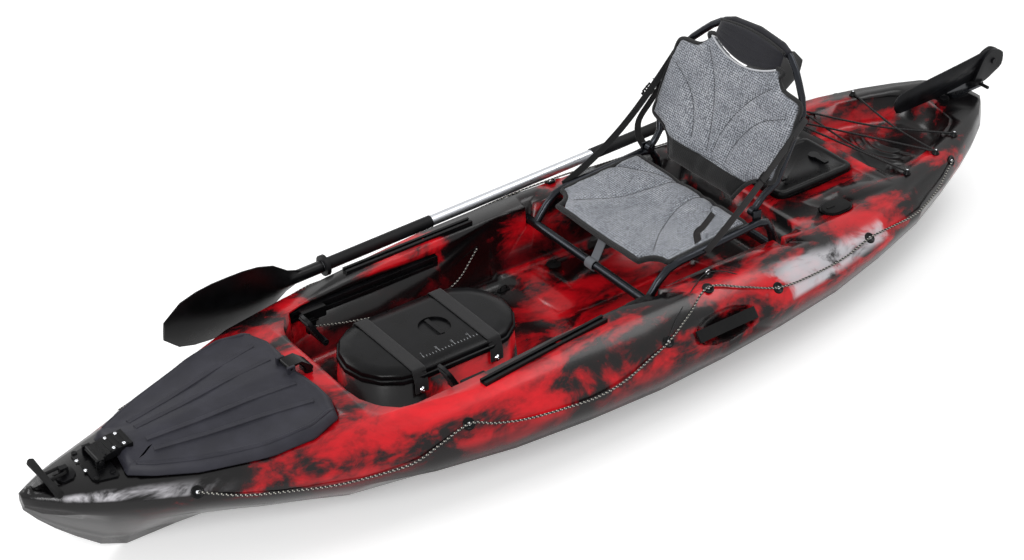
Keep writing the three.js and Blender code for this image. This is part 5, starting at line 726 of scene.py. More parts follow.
PAN_SEAMS = [[(-.363, -.225), (-.396, -.158), (-.43, -.09), (-.452, -.02)],
             [(-.174, -.161), (-.268, -.1), (-.374, -.061), (-.452, -.04)],
             [(-.187, .165), (-.269, .101), (-.362, .058), (-.452, .052)],
             [(-.397, .161), (-.421, .12), (-.45, .1)]]
PAN_SEAMS_DENSE = [smooth_path(seam, 60) for seam in laid_flat(PAN_SEAMS)]


def pan_flat(point):
    return Vector((point.x, point.y, 0))


pan = swollen("seat_sling_pad", "seat_pan", PAD_VOXEL, PAD_PRESSURE, 4 * MM, PAN_MESH, "hull")
press_seams(pan, PAN_SEAMS_DENSE, pan_flat, SEAM_DEPTH, SEAM_WIDTH, Vector((0, 0, 1)))
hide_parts("seat_pan")
print(pan.name, len(pan.data.vertices), "points")


STITCH, STITCH_GAP, FIRST_STITCH = 5 * MM, 2 * MM, 4 * MM


def stitches(name, piece, seams, lift, finish, body, place_of):
    """Short raised threads along a seam."""
    threads = []
    for seam in seams:
        run = 0.0
        path = smooth_path(seam, 400)
        marks = []
        for a, b in zip(path, path[1:]):
            run += (b - a).length
            marks.append((run, b))
        target = FIRST_STITCH
        while target + STITCH < run:
            first = next(p for r, p in marks if r >= target)
            last = next(p for r, p in marks if r >= target + STITCH)
            ends = [place_of(piece, p) for p in (first, first.lerp(last, 0.5), last)]
            if None not in ends:
                raised = [end + lift for end in ends]
                threads.append(tube(f"{name}_{len(threads)}", raised, 1.0 * MM, finish, body, 4))
            target += STITCH + STITCH_GAP
    return joined(name, threads, body)


def pan_place(piece, point):
    return felt(piece, Vector((point.x, point.y, 1.0)))


THREAD = woven("dark_polyester_sewing_thread", "#1b1c1f", "#2b2c30", 1.2 * MM)
bpy.context.view_layer.update()
stitches("pan_stitches", pan, laid_flat(PAN_SEAMS), Vector((0, 0, 0.4 * MM)), THREAD, "hull", pan_place)

PAN_FRONT, PAN_AFT, PAN_HALF, PAN_CUT = -.135, -.452, .2253, .056
SIDE_TUBE_FRONT_X, SIDE_TUBE_FRONT_Z, SIDE_TUBE_AFT_X, SIDE_TUBE_AFT_Z = -.172, .330, -.520, .352
EDGE_ABOVE_TUBE = 2.5 * MM
BINDING_RADIUS = 8 * MM


def pan_edge(x, y):
    share = (x - SIDE_TUBE_FRONT_X) / (SIDE_TUBE_AFT_X - SIDE_TUBE_FRONT_X)
    tube_z = SIDE_TUBE_FRONT_Z + (SIDE_TUBE_AFT_Z - SIDE_TUBE_FRONT_Z) * share
    return Vector((x, y, tube_z + EDGE_ABOVE_TUBE))


outline = []
corner = [(PAN_FRONT - PAN_CUT * math.sin(t), PAN_HALF - PAN_CUT + PAN_CUT * (1 - math.cos(t)))
          for t in [math.pi / 2 * i / 8 for i in range(9)]]
outline += [pan_edge(x, -y) for x, y in reversed(corner)]
outline += [pan_edge(x, y) for x, y in corner]
outline += [pan_edge(PAN_AFT, PAN_HALF), pan_edge(PAN_AFT, -PAN_HALF)]


def resampled(points, step, closed=True):
    points = list(points) + ([points[0]] if closed else [])
    result = []
    for a, b in zip(points, points[1:]):
        count = max(1, round((b - a).length / step))
        result += [a.lerp(b, i / count) for i in range(count)]
    return result if closed else result + [points[-1]]


edge = resampled(outline, 12 * MM)
sagged = []
for point in edge:
    inward_x = min(max(point.x, PAN_AFT + 6 * MM), PAN_FRONT - 6 * MM)
    place = felt(pan, Vector((inward_x, point.y * 0.985, 1.0)))
    height = point.z if place is None else place.z - 5 * MM
    sagged.append(Vector((point.x, point.y, height)))
tube("pan_binding", sagged, BINDING_RADIUS, BINDING, "hull", 10, closed=True)
print("pan binding", round(length_of(sagged), 3))

# %% [markdown]
# The back is the same padded mesh in an hourglass shape, with a head panel of black coated cloth above it.
# Four seams fan out from the small of the back to the shoulders, and one crosses the black band at its foot.
# The pad leans back, so its face is described by height up the lean and distance across.

# %% Seat back
def back_point(up, across, out):
    return BACK_PIVOT + Vector((-up * math.sin(BACK_LEAN) + out * math.cos(BACK_LEAN), across,
                                up * math.cos(BACK_LEAN) + out * math.sin(BACK_LEAN)))


def back_flat(point):
    away = point - BACK_PIVOT
    return Vector((away.y, away.z * math.cos(BACK_LEAN) - away.x * math.sin(BACK_LEAN), 0))


BACK_OUT = Vector((math.cos(BACK_LEAN), 0, math.sin(BACK_LEAN)))
CLEAR_OF_PAD = .12
BACK_SEAMS = [[(-.221, .252), (-.16, .222), (-.117, .185), (-.092, .141), (-.073, .091)],
              [(-.127, .338), (-.083, .29), (-.054, .235), (-.03, .168), (-.004, .077)],
              [(.139, .319), (.08, .259), (.039, .197), (.018, .135), (.015, .08)],
              [(.218, .265), (.138, .222), (.094, .168), (.072, .115), (.07, .073)],
              [(-.155, .056), (-.072, .057), (.007, .065), (.073, .067), (.143, .06)]]
BACK_SEAMS_DENSE = [smooth_path(seam, 60) for seam in laid_flat(BACK_SEAMS)]

back = swollen("seat_back_cushion", "seat_back_pad", PAD_VOXEL, PAD_PRESSURE, 5 * MM, BACK_MESH, "seat_back")
press_seams(back, BACK_SEAMS_DENSE, back_flat, SEAM_DEPTH, SEAM_WIDTH, BACK_OUT)
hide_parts("seat_back_pad")
bpy.context.view_layer.update()


def on_back(piece, flat):
    """The point of the back's face in front of a place that is given across and up the lean."""
    return felt(piece, back_point(flat.y, flat.x, CLEAR_OF_PAD), -BACK_OUT)


stitches("back_stitches", back, laid_flat(BACK_SEAMS), BACK_OUT * 0.4 * MM, THREAD, "seat_back", on_back)
print(back.name, len(back.data.vertices), "points")

# %% [markdown]
# A black piping cord is sewn into the edge of the back and covers the cut edge of the foam. It follows the
# outline of the pad, given in mm as half widths at heights up the lean. The swollen mesh itself gives how far
# out the middle of its edge lies.

# %% Piping round the back
PAD_HALVES = [(0, 128), (28, 142), (56, 160), (78, 188), (96, 240), (140, 243), (210, 250), (262, 244),
              (312, 236), (324, 168), (345, 138), (369, 126)]


def back_edge(up_mm, half_mm, side):
    up, half = up_mm * MM, half_mm * MM
    inward = side * (half - 12 * MM)
    front = felt(back, back_point(up, inward, CLEAR_OF_PAD), -BACK_OUT)
    rear = felt(back, back_point(up, inward, -CLEAR_OF_PAD), BACK_OUT)
    middle = 0.0
    if front is not None and rear is not None:
        middle = ((front + rear) / 2 - back_point(up, 0, 0)).dot(BACK_OUT)
    return back_point(up, side * half, middle)


rim = [back_edge(u, h, 1) for u, h in PAD_HALVES]
rim += [back_edge(u, h, -1) for u, h in reversed(PAD_HALVES)]
rim_path = resampled(smooth_path(rim, 200), 8 * MM, closed=False)
piping = tube("back_piping", rim_path, 6 * MM, BINDING, "seat_back")
print(piping.name, "length", round(length_of(rim), 3))

# %% [markdown]
# The head panel is two layers of black coated nylon over thin foam, quilted in wide ribs.
# A silver reflective piping curves under it, from shoulder to shoulder. It is the brightest line on the seat.

# %% Head panel
# In mm up the lean and across. The low edge rises to the sides, and the top edge drops to them.
HEAD_LOW, HEAD_LOW_RISE, HEAD_TOP, HEAD_TOP_DROP = 335, 34, 424, 14
HEAD_HALF, PIPING_HALF, HEAD_BINDING_HALF = 128, 125, 124
FRONT_OUT, REAR_OUT, EDGE_OUT = 8.2, -8.0, 0.8
RIBS, RIB_HEIGHT, PUFF_HEIGHT = 4, 1.6, 1.5
PIPING_RADIUS, HEAD_BINDING_RADIUS = 2.6 * MM, 4.2 * MM


def head_edges(across):
    return HEAD_LOW + HEAD_LOW_RISE * across * across, HEAD_TOP - HEAD_TOP_DROP * across * across


def head_front(across, share):
    low, top = head_edges(across)
    up = low + (top - low) * share
    rib = RIB_HEIGHT * abs(math.sin(math.pi * share * RIBS)) ** 0.6
    puff = PUFF_HEIGHT * (1 - across ** 4)
    return up, FRONT_OUT + rib + puff


def panel_sheet(name, rows, columns, finish, body):
    corners, faces = [], []
    for face_of in (1, -1):
        for i in range(rows + 1):
            share = i / rows
            for k in range(columns + 1):
                across = -1 + 2 * k / columns
                up, out = head_front(across, share)
                half = HEAD_HALF - 4 * share ** 3 - 2
                out = out if face_of > 0 else REAR_OUT
                edge = max(abs(across) ** 10, abs(2 * share - 1) ** 12)
                out = out * (1 - edge) + edge * EDGE_OUT * face_of
                corners.append(back_point(up * MM, across * half * MM, out * MM))
    wide = columns + 1
    total = (rows + 1) * wide
    for side in range(2):
        for i in range(rows):
            for k in range(columns):
                a = side * total + i * wide + k
                faces.append((a, a + 1, a + wide + 1, a + wide))
    rim = list(range(columns)) + [i * wide + columns for i in range(rows)]
    rim += [rows * wide + columns - k for k in range(columns)] + [(rows - i) * wide for i in range(rows)]
    for a, b in zip(rim, rim[1:] + rim[:1]):
        faces.append((a, b, b + total, a + total))
    return piece_from(name, corners, faces, finish, body)


head = panel_sheet("head_panel", 32, 40, HEAD_CLOTH, "seat_back")
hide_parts("seat_head_panel")
bpy.context.view_layer.update()
line, top_edge = [], []
for k in range(41):
    across = k / 20 - 1
    low, top = [up * MM for up in head_edges(across)]
    up, aside = low - 5 * MM, across * PIPING_HALF * MM
    place = felt(back, back_point(up, aside, CLEAR_OF_PAD), -BACK_OUT)
    out = 11 * MM if place is None else (place - back_point(up, aside, 0)).dot(BACK_OUT)
    line.append(back_point(up, aside, max(out, 9 * MM) + 2.2 * MM))
    top_edge.append(back_point(top, across * HEAD_BINDING_HALF * MM, 0.5 * MM))
tube("reflective_piping", line, PIPING_RADIUS, LIGHT_PIPING, "seat_back")
tube("head_binding", top_edge, HEAD_BINDING_RADIUS, BINDING, "seat_back")
print(head.name, "with piping", round(length_of(line), 3))

# %% [markdown]
# A strap on each side holds the back up: it runs from the top of the back frame down to the hull beside the
# seat. It is 25 mm black webbing through a ladder-lock buckle, and its free end hangs in a loop below.
# Strap sizes come from the frame, and the buckle is placed where the slack was taken up.

# %% Side straps
STRAP_WIDTH, STRAP_THICK, TAIL_WIDTH = 25 * MM, 2.4 * MM, 22 * MM
STRAP_STEPS, TAIL_STEPS = 40, 24
# For each strap its top, its foot, its sag, and how far down its run the buckle sits.
STRAPS = {"port": ((-.6125, .2531, .6266), (-.296, .2482, .3378), .012, 0.42),
          "starboard": ((-.6125, -.2531, .6266), (-.212, -.2482, .3325), .042, 0.24)}


def strap_line(top, low, sag):
    top, low = Vector(top), Vector(low)
    shares = [i / STRAP_STEPS for i in range(STRAP_STEPS + 1)]
    return [top.lerp(low, share) - Vector((0, 0, sag * math.sin(math.pi * share))) for share in shares]


def buckle(name, place, along, across, body):
    """A ladder-lock: two side rails, four bars across and a tongue of short rods."""
    face = along.cross(across).normalized()
    parts = []

    def bar(first, last, size):
        ends = [place + along * first[0] * MM + across * first[1] * MM + face * first[2] * MM,
                place + along * last[0] * MM + across * last[1] * MM + face * last[2] * MM]
        parts.append(tube(f"{name}_{len(parts)}", ends, size * MM, NYLON, body, 10))

    for side in (-1, 1):
        bar((-15, side * 15.5, 2), (15, side * 15.5, 2), 2.6)
    for step, height in ((-14, 3.4), (-3, 4.6), (6, 2.2), (14, 3.4)):
        bar((step, -15.5, height), (step, 15.5, height), 2.4)
    for step in range(-10, 11, 4):
        bar((14, step, 3.4), (22, step * 0.9, 6.5), 1.9)
    return joined(name, parts, body)


TAILS = {"port": [(-.300, .262, .46), (-.268, .262, .432), (-.2475, .262, .4236), (-.250, .262, .405),
                  (-.2529, .262, .3915)],
         "starboard": [(-.5424, -.262, .5483), (-.5585, -.264, .517), (-.53, -.266, .48),
                       (-.4901, -.266, .4343), (-.489, -.266, .39), (-.505, -.266, .355), (-.524, -.266, .322)]}
for side, (top, low, sag, share) in STRAPS.items():
    path = strap_line(top, low, sag)
    along = (path[-1] - path[0]).normalized()
    flat = along.cross(Vector((0, 1, 0))).normalized()
    strap = ribbon(f"seat_strap_{side}_webbing", path, [flat] * len(path), STRAP_WIDTH, STRAP_THICK, WEBBING,
                   None)
    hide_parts(f"seat_strap_{side}")
    place = path[round(share * STRAP_STEPS)] + Vector((0, SIDES[side], 0)) * 2 * MM
    ladder = buckle(f"seat_buckle_{side}", place, along, flat, None)
    tail_path = smooth_path(TAILS[side], TAIL_STEPS)
    across = Vector((0, 1, 0)).cross(along)
    tail = ribbon(f"seat_strap_{side}_tail", tail_path, [across] * len(tail_path), TAIL_WIDTH, STRAP_THICK,
                  WEBBING, None)
    for piece in (strap, ladder, tail):
        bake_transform(piece)
    print(strap.name, "length", round(length_of(path), 3))

# %% [markdown]
# The hull comes as five lengths with a hair's breadth between them. The real one is a single moulding, so
# here they are joined into one skin: the faces inside each cut go, and the rims are drawn together and
# welded. Then light runs over the joins with no break. Edges sharper than 50 degrees stay creased.

# %% One hull skin
SECTIONS = ["hull_stern", "hull_rear_deck", "hull_seat_well", "hull_footwell", "hull_bow"]
SECTION_CUTS = [-1.020, -.548, -.110, .742]
CREASE_ANGLE = math.radians(50)


def nearest_cut(x):
    return min(SECTION_CUTS, key=lambda cut: abs(x - cut))


def one_skin(name, sections, finish, body):
    bm = bmesh.new()
    for section in sections:
        bm.from_mesh(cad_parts[section].data)
    bmesh.ops.remove_doubles(bm, verts=bm.verts, dist=0.02 * MM)
    rims = [v for v in bm.verts if abs(v.co.x - nearest_cut(v.co.x)) < 0.25 * MM]
    on_rim = set(rims)
    caps = [f for f in bm.faces if all(v in on_rim for v in f.verts) and abs(f.normal.x) > 0.9]
    bmesh.ops.delete(bm, geom=caps, context="FACES_ONLY")
    for vertex in rims:
        vertex.co.x = nearest_cut(vertex.co.x)
    bmesh.ops.remove_doubles(bm, verts=[v for v in rims if v.is_valid], dist=0.5 * MM)
    mesh = bpy.data.meshes.new(name)
    bm.to_mesh(mesh)
    bm.free()
    mesh.polygons.foreach_set("use_smooth", [True] * len(mesh.polygons))
    mesh.set_sharp_from_angle(angle=CREASE_ANGLE)
    mesh.materials.clear()
    mesh.materials.append(finish)
    skin = bpy.data.objects.new(name, mesh)
    bpy.context.scene.collection.objects.link(skin)
    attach(skin, body)
    return skin


hull_skin = one_skin("hull_skin", SECTIONS, HULL_SKIN, "hull")
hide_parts(*SECTIONS)
print(hull_skin.name, len(hull_skin.data.polygons), "faces")

# %% [markdown]
# The other rigid pieces stay as the frame gives them. Their faces come flat, so a small group of geometry
# nodes welds the points and smooths every edge flatter than 50 degrees. The tubes and discs then shade as
# round. Each piece takes the finish of what it is made of.

# %% Finishes of the frame's own pieces
def smoothing_group():
    group = bpy.data.node_groups.new("weld_and_smooth", "GeometryNodeTree")
    group.interface.new_socket("Geometry", in_out="INPUT", socket_type="NodeSocketGeometry")
    group.interface.new_socket("Geometry", in_out="OUTPUT", socket_type="NodeSocketGeometry")
    start = add(group, "NodeGroupInput")
    bare = add(group, "GeometryNodeRemoveAttribute", {"Geometry": start, "Name": "custom_normal"})
    weld = add(group, "GeometryNodeMergeByDistance", {"Geometry": bare, "Distance": 0.01 * MM})
    soft = add(group, "GeometryNodeSetShadeSmooth", {"Geometry": weld, "Shade Smooth": True}, domain="FACE")
    angle = add(group, "GeometryNodeInputMeshEdgeAngle").outputs["Unsigned Angle"]
    sharp = add(group, "FunctionNodeCompare", {0: angle, 1: CREASE_ANGLE}, data_type="FLOAT",
                operation="GREATER_THAN")
    crease = add(group, "GeometryNodeSetShadeSmooth", {"Geometry": soft, "Selection": sharp,
                                                       "Shade Smooth": False}, domain="EDGE")
    add(group, "NodeGroupOutput", {"Geometry": crease})
    return group


SMOOTH = smoothing_group()
FINISH_OF = {
    LID_SKIN: ["bow_hatch_lid"],
    NYLON: ["bow_hinge_base", "bow_hinge_strap", "bow_latch_lever", "bow_latch_catch", "bow_toggle_fitting",
            "accessory_rail_port", "accessory_rail_starboard", "foot_rail_port", "foot_rail_starboard",
            "pedal_carriage_port", "pedal_carriage_starboard", "pod_rim", "pod_lid", "pod_knob",
            "floor_pad_eye", "rear_hatch_frame", "rear_hatch_lid", "rear_latch_front", "rear_latch_aft",
            "rod_holder_port", "rod_holder_starboard", "rudder_rest"],
    SATIN_NYLON: ["pedal_port", "pedal_starboard", "rudder_yoke", "rudder_blade"],
    RUBBER: ["bow_hatch_seal", "bow_toggle", "scupper_plug_port", "scupper_plug_starboard", "rod_cap_port",
             "rod_cap_starboard", "carry_handle_port", "carry_handle_starboard"],
    TUBE_METAL: ["seat_base_frame", "seat_back_frame", "rudder_bracket"],
    SHAFT_METAL: ["paddle_shaft"],
    GRIP_RUBBER: ["paddle_grip_front", "paddle_grip_rear"],
    BLADE_NYLON: ["paddle_blade_front", "paddle_blade_rear"],
    WEBBING: ["pod_strap_front", "pod_strap_rear"],
}
for finish, names in FINISH_OF.items():
    for name in names:
        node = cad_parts[name]
        for slot in node.material_slots:
            slot.link = "OBJECT"
            slot.material = finish
        node.modifiers.new("smooth", "NODES").node_group = SMOOTH
print("finished", sum(len(names) for names in FINISH_OF.values()), "pieces of the frame")

# %% [markdown]
# Two woven straps hold the pod's lid down. Each comes up the pod's side, turns over the rim with a soft fold
# and crosses the lid. A real one is 38 mm polypropylene webbing, held at each end by a screw with a washer.
# The straps and their screws go with the lid when it is lifted off.

# %% Pod straps and their screws
POD_HALF, POD_STEP_LOW, POD_RIM_Z, POD_TOP_Z = 0.1412, 0.1905, 0.2225, 0.2531
POD_STRAP_WIDTH, POD_STRAP_THICK = 38 * MM, 2.6 * MM
PAN_HEAD = [(8.5, 0), (8.5, .9), (5.2, .9), (5.0, 2.6), (3.6, 3.6), (1.6, 3.9), (1.4, 2.7)]


def pod_strap(name, x, node):
    side = [(POD_HALF + .0035, POD_STEP_LOW), (POD_HALF + .002, POD_RIM_Z - .006),
            (POD_HALF - .003, POD_RIM_Z + .009), (POD_HALF - .009, POD_TOP_Z - .004),
            (POD_HALF - .019, POD_TOP_Z), (POD_HALF - .06, POD_TOP_Z + .0006)]
    middle = [(.03, POD_TOP_Z + .0008), (-.03, POD_TOP_Z + .0008)]
    path = smooth_path([(x, y, z) for y, z in side + middle + [(-y, z) for y, z in reversed(side)]], 72)
    strap = ribbon(name, path, [(1, 0, 0)] * len(path), POD_STRAP_WIDTH, POD_STRAP_THICK, WEBBING, "pod_cover")
    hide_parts(node)
    for side_name, sign in SIDES.items():
        turned(f"{name}_screw_{side_name}", PAN_HEAD, (x, sign * (POD_HALF + 6 * MM), POD_STEP_LOW + 8 * MM),
               (0, sign, .2), STAINLESS, "pod_cover")
    print(name, "length", round(length_of(path), 3))


pod_strap("pod_strap_webbing_front", .526, "pod_strap_front")
pod_strap("pod_strap_webbing_rear", .298, "pod_strap_rear")

# %% [markdown]
# Small stainless screws hold the frame's castings down. On the real boat they are A4 grade, with a low
# domed head, and each gives one bright dot. A turned profile with a small socket in its middle is enough
# for such a dot.

# %% Screws and bolts
DOME = [(5.0, 0), (5.0, .8), (4.4, 2.2), (3.0, 3.1), (1.5, 3.3), (1.4, 2.0)]
SMALL_DOME = [(3.4, 0), (3.4, .6), (3.0, 1.5), (2.0, 2.1), (1.1, 2.2), (1.0, 1.4)]


def screws(name, places, up, profile, finish, body):
    heads = [turned(f"{name}_{i}", profile, place, up, finish, body, 14) for i, place in enumerate(places)]
    return joined(name, heads, body)


TREES = {}


def search_tree(node):
    """The faces of a frame piece, kept so that rays can be cast at them as often as wanted."""
    if node not in TREES:
        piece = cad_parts[node]
        TREES[node] = BVHTree.FromPolygons([piece.matrix_world @ v.co for v in piece.data.vertices],
                                           [tuple(face.vertices) for face in piece.data.polygons])
    return TREES[node]


def surface_z(node, x, y, start=1.5):
    """The height of the top of a frame piece above the point x, y."""
    place = search_tree(node).ray_cast(Vector((x, y, start)), Vector((0, 0, -1)))[0]
    return place.z if place else None


def on_node(node, spots):
    return [(x, y, z - .2 * MM) for x, y in spots if (z := surface_z(node, x, y)) is not None]


HINGE_SCREWS = [(1.372, .022), (1.372, -.022), (1.402, .022), (1.402, -.022), (1.387, 0)]
screws("hinge_base_screws", on_node("bow_hinge_base", HINGE_SCREWS), (0, 0, 1), DOME, STAINLESS, "hull")
STRAP_SCREWS = [(1.296, .022), (1.296, -.022), (1.27, .022), (1.27, -.022)]
screws("hinge_strap_screws", on_node("bow_hinge_strap", STRAP_SCREWS), (0, 0, 1), DOME, STAINLESS, "bow_hatch")
HATCH_MIDDLE, HATCH_SCREW_AHEAD, HATCH_SCREW_ASIDE = -.832, .128, .09
HATCH_SCREWS = [(HATCH_MIDDLE + ahead * HATCH_SCREW_AHEAD, aside * HATCH_SCREW_ASIDE)
                for ahead, aside in ((-1, -1), (-1, 1), (0, -1), (0, 1), (1, -1), (1, 1), (-1, 0), (1, 0))]
screws("rear_hatch_screws", on_node("rear_hatch_frame", HATCH_SCREWS), (0, 0, 1), SMALL_DOME, STAINLESS, "hull")
print("screw heads placed")

# %% [markdown]
# A hinge pin is a plain steel rod pressed through the ribs. Only its ends show, as two bright discs.
# The rudder turns on a like pin, with a washer on each side.

# %% Pins
HINGE_PIN, HINGE_HALF = (1.340, .28575), .0335
RUDDER_PIN, RUDDER_HALF = (-1.612, .38213), .0135
for side, sign in SIDES.items():
    for name, (x, z), half, profile, body in (
            ("hinge", HINGE_PIN, HINGE_HALF, SMALL_DOME, "hull"),
            ("rudder", RUDDER_PIN, RUDDER_HALF, PAN_HEAD, "rudder_yoke")):
        turned(f"{name}_pin_end_{side}", profile, (x, sign * half, z), (0, sign, 0), STAINLESS, body)
print("pins placed")

# %% [markdown]
# The pod's lid carries a printed ruler for measuring a catch: a row of ticks, longer at each fifth one,
# and plain numbers. The print stands 0.3 mm high, pale grey on black, so that it never flickers with the lid.

# %% Ruler on the pod's lid
PRINT = moulded("pale_printed_ruler_ink", "#b9bcc0", "#c6c9cc", 0.6, 2, 0.02)
CUBE_FACES = [(0, 3, 2, 1), (4, 5, 6, 7), (0, 1, 5, 4), (1, 2, 6, 5), (2, 3, 7, 6), (3, 0, 4, 7)]


def bars(name, boxes, finish, body):
    corners, faces = [], []
    for (x0, y0, z0), (x1, y1, z1) in boxes:
        faces += [tuple(i + len(corners) for i in face) for face in CUBE_FACES]
        corners += [(x, y, z) for z in (z0, z1) for x, y in ((x0, y0), (x1, y0), (x1, y1), (x0, y1))]
    return piece_from(name, corners, faces, finish, body, flat=True)


LID_Z = surface_z("pod_lid", .47, .075)
STROKES = {"1": "bc", "2": "abged", "3": "abgcd", "4": "fgbc"}
TICKS, TICK_STEP, FIRST_TICK, TICK_SIDE = 20, 9.5 * MM, .486, .098
LONG_TICK, SHORT_TICK = 11 * MM, 6 * MM
HALF_TICK, HALF_STROKE, PRINT_HEIGHT = .5 * MM, .4 * MM, .3 * MM
DIGIT_SIZE, DIGIT_SIDE = 8 * MM, .084
SEGMENT = {"a": ((0, 1), (.5, 1)), "b": ((.5, .5), (.5, 1)), "c": ((.5, 0), (.5, .5)), "d": ((0, 0), (.5, 0)),
           "e": ((0, 0), (0, .5)), "f": ((0, .5), (0, 1)), "g": ((0, .5), (.5, .5))}


def digit(mark, x, y, z, size):
    boxes = []
    for stroke in STROKES[mark]:
        (u0, v0), (u1, v1) = SEGMENT[stroke]
        low = (x - u1 * size - HALF_STROKE, y - v1 * size - HALF_STROKE, z)
        high = (x - u0 * size + HALF_STROKE, y - v0 * size + HALF_STROKE, z + PRINT_HEIGHT)
        boxes.append((low, high))
    return boxes


marks = []
for i in range(TICKS):
    x = FIRST_TICK - i * TICK_STEP
    long = LONG_TICK if i % 5 == 0 else SHORT_TICK
    low = (x - HALF_TICK, TICK_SIDE - long, LID_Z - .1 * MM)
    marks.append((low, (x + HALF_TICK, TICK_SIDE, LID_Z + PRINT_HEIGHT)))
    if i % 5 == 0:
        marks += digit(str(i // 5 + 1), x + 2 * MM, DIGIT_SIDE, LID_Z, DIGIT_SIZE)
bars("pod_ruler", marks, PRINT, "pod_cover")
print("ruler of", len(marks), "bars on the pod's lid")

# %% [markdown]
# Two small things catch the eye in the photograph: a short grey strap looped round the seat's front bar,
# and a thin black cord drawn taut over the port deck through a steel eye. The cord's points are dropped
# onto the deck by casting a ray down at each, so it lies on the curved shell and not in it.

# %% Strap on the front bar, taut cord and steel eye
BAR_X, BAR_Z, LOOP_RADIUS, LOOP_SIDE = -.110, .2518, 15.2 * MM, 12 * MM
LOOP_TURNS = [math.radians(angle) for angle in range(-33, 211, 27)]
TAUT = [(-.0357, .4024, .2515), (-.1, .366, .262), (-.2, .312, .274), (-.2773, .279, .2795), (-.33, .318, .273),
        (-.4223, .3874, .256)]
TAUT_LIFT, TAUT_RADIUS, EYE_RADIUS, EYE_STEPS = 2.2 * MM, 1.6 * MM, 7 * MM, 20

loop = [(BAR_X + math.sin(turn) * LOOP_RADIUS, LOOP_SIDE, BAR_Z + math.cos(turn) * LOOP_RADIUS)
        for turn in LOOP_TURNS]
bar_path = smooth_path([(-.150, LOOP_SIDE, .3265), (-.137, LOOP_SIDE, .300)] + loop, 36)
ribbon("seat_front_bar_strap", bar_path, [(0, 1, 0)] * len(bar_path), 30 * MM, 2 * MM, GREY_WEBBING, "hull")
taut_ends = []
for x, y, z in TAUT:
    top = max(filter(None, (surface_z(node, x, y) for node in ("hull_seat_well", "hull_footwell"))), default=z)
    taut_ends.append((x, y, top + TAUT_LIFT))
taut_path = smooth_path(taut_ends, 40)
tube("deck_cord_port", taut_path, TAUT_RADIUS, BLACK_BUNGEE, "hull")
x, y, z = taut_ends[3]
turns = [2 * math.pi * i / EYE_STEPS for i in range(EYE_STEPS)]
eye_ring = [Vector((x + EYE_RADIUS * math.cos(turn), y, z + 1 * MM + EYE_RADIUS * math.sin(turn)))
            for turn in turns]
tube("deck_steel_eye", eye_ring, TAUT_RADIUS, STAINLESS, "hull", closed=True)
turned("deck_eye_foot", SMALL_DOME, (x, y, z - 3.5 * MM), (0, 0, 1), STAINLESS, "hull")
print("taut cord", round(length_of(taut_path), 3))

# %% [markdown]
# A raised bead runs round the hatch lid near its edge. On the real lid it stiffens the thin moulding.
# Its path is found on the lid itself: at each station the edge is felt for from outside, and the bead is laid
# a fixed way in from there, with its middle a little under the surface.

# %% Bead round the bow lid
BEAD_INSET, BEAD_RADIUS, BEAD_SUNK = 19 * MM, 4.5 * MM, 0.35
BEAD_FRONT, BEAD_LENGTH, BEAD_STATIONS = 1.272, .462, 28
LID_HALF_AT_MOST, LID_HALF_AT_LEAST = .240, .02


def lid_edge(x):
    y = LID_HALF_AT_MOST
    while y > LID_HALF_AT_LEAST and surface_z("bow_hatch_lid", x, y) is None:
        y -= 1 * MM
    return y


bead = []
for i in range(BEAD_STATIONS + 1):
    x = BEAD_FRONT - i * (BEAD_LENGTH / BEAD_STATIONS)
    y = lid_edge(x) - BEAD_INSET
    z = surface_z("bow_hatch_lid", x, y)
    if z:
        bead.append((x, y, z - BEAD_RADIUS * BEAD_SUNK))
for side, sign in SIDES.items():
    path = smooth_path([(x, sign * y, z) for x, y, z in bead], 96)
    tube(f"bow_lid_bead_{side}", path, BEAD_RADIUS, LID_SKIN, "bow_hatch", 10)
print("bead of", len(bead), "stations")

# %% [markdown]
# The head panel's cloth is sewn into a sleeve round the top of the back tube. A ray cast down the back at
# each station finds the tube's top, and stepping back along the surface's normal by the tube's radius finds
# its middle. The sleeve is swept along those middles, a little wider than the tube.

# %% Sleeve round the back tube
BACK_TUBE_RADIUS, SLEEVE_THICK = 10 * MM, 2.5 * MM
TUBE_OUT, ABOVE_TUBE, BELOW_TUBE = -.0173, .62, .2
SLEEVE_HALF = .128
SLEEVE_STATIONS = 24


def tube_middle(across):
    high, low = [back_point(up, across, TUBE_OUT) for up in (ABOVE_TUBE, BELOW_TUBE)]
    place, normal, _, _ = search_tree("seat_back_frame").ray_cast(high, (low - high).normalized())
    return place - normal * BACK_TUBE_RADIUS if place else None


middles = [tube_middle(-SLEEVE_HALF + 2 * SLEEVE_HALF * i / SLEEVE_STATIONS)
           for i in range(SLEEVE_STATIONS + 1)]
middles = [point for point in middles if point]
sleeve = tube("head_panel_sleeve", smooth_path(middles, 48), BACK_TUBE_RADIUS + SLEEVE_THICK, HEAD_CLOTH,
              "seat_back", 16)
print(sleeve.name, "length", round(length_of(middles), 3))

# %% [markdown]
# The boat stands on a plain white floor, as in a studio. Three broad soft lamps light it from above and
# both sides, and a pale sky fills the shadows. The floor and sky show as white to the camera and in
# reflections, but light the boat at a plain level, at which each colour looks as it is written.

# %% Floor, sky and lamps
FLOOR_LIFT = 0.3
FLOOR_HALF = 30
DUST_MM = 333.3
SKY_LIGHT = 0.5
LIT_PLACE = (0, 0, .2)


def shows(tree):
    """1 for a ray that the camera sees, straight, mirrored or through glass, and 0 for one that lights."""
    rays = add(tree, "ShaderNodeLightPath").outputs
    seen = add(tree, "ShaderNodeMath", {0: rays["Is Camera Ray"], 1: rays["Is Glossy Ray"]}, operation="ADD")
    return add(tree, "ShaderNodeMath", {0: seen, 1: rays["Is Transmission Ray"]}, operation="ADD",
               use_clamp=True)


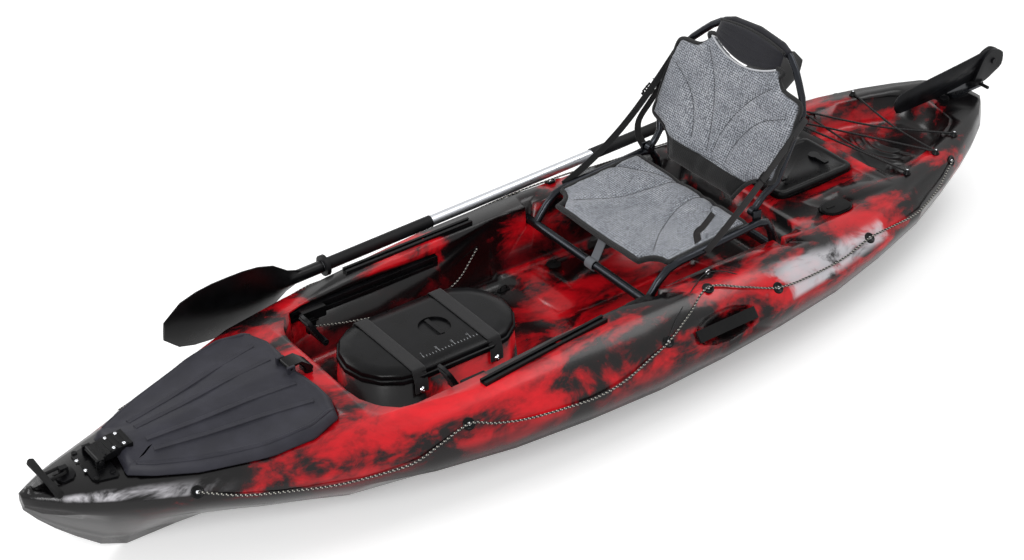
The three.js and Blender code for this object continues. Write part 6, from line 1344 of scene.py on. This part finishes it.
def studio_floor():
    finish, tree, shader = start_finish("matt_white_studio_floor", 0.9, Specular_IOR_Level=0.0)
    point = add(tree, "ShaderNodeTexCoord").outputs["Object"]
    dust = add(tree, "ShaderNodeTexNoise", {"Vector": point, "Scale": per_mm(DUST_MM), "Detail": 2.0})
    tint = add(tree, "ShaderNodeMix", {0: dust, 6: linear("#f7f7f7"), 7: linear("#f9f9f9")}, data_type="RGBA")
    link(tree, tint, shader.inputs["Base Color"])
    lift = add(tree, "ShaderNodeMath", {0: shows(tree), 1: FLOOR_LIFT}, operation="MULTIPLY")
    link(tree, lift, shader.inputs["Emission Strength"])
    shader.inputs["Emission Color"].default_value = (1, 1, 1, 1)
    mesh = bpy.data.meshes.new("studio_floor")
    corners = [(FLOOR_HALF * x, FLOOR_HALF * y, 0) for x, y in ((-1, -1), (1, -1), (1, 1), (-1, 1))]
    mesh.from_pydata(corners, [], [(0, 1, 2, 3)])
    mesh.materials.append(finish)
    made = bpy.data.objects.new("studio_floor", mesh)
    made.location.z = -1 * MM
    bpy.context.scene.collection.objects.link(made)


def studio_sky():
    world = bpy.data.worlds.new("studio_sky")
    bpy.context.scene.world = world
    world.use_nodes = True
    tree = world.node_tree
    tree.nodes.clear()
    level = add(tree, "ShaderNodeMath", {0: shows(tree), 1: 1.0 - SKY_LIGHT, 2: SKY_LIGHT},
                operation="MULTIPLY_ADD")
    background = add(tree, "ShaderNodeBackground", {"Color": (1, 1, 1, 1), "Strength": level})
    add(tree, "ShaderNodeOutputWorld", {"Surface": background})


def lamp(name, place, target, size, power):
    light = bpy.data.lights.new(name, "AREA")
    light.shape = "SQUARE"
    light.size = size
    light.energy = power
    made = bpy.data.objects.new(name, light)
    made.location = place
    made.rotation_euler = (Vector(target) - Vector(place)).to_track_quat("-Z", "Y").to_euler()
    bpy.context.scene.collection.objects.link(made)


studio_floor()
studio_sky()
lamp("key_lamp", (4.4, 3.2, 4.0), LIT_PLACE, 2.2, 190)
lamp("side_lamp", (2.6, -4.2, 3.4), LIT_PLACE, 2.2, 80)
lamp("top_lamp", (-2.8, 0.8, 4.8), (-.2, 0, .2), 2.4, 80)
print("stage ready")
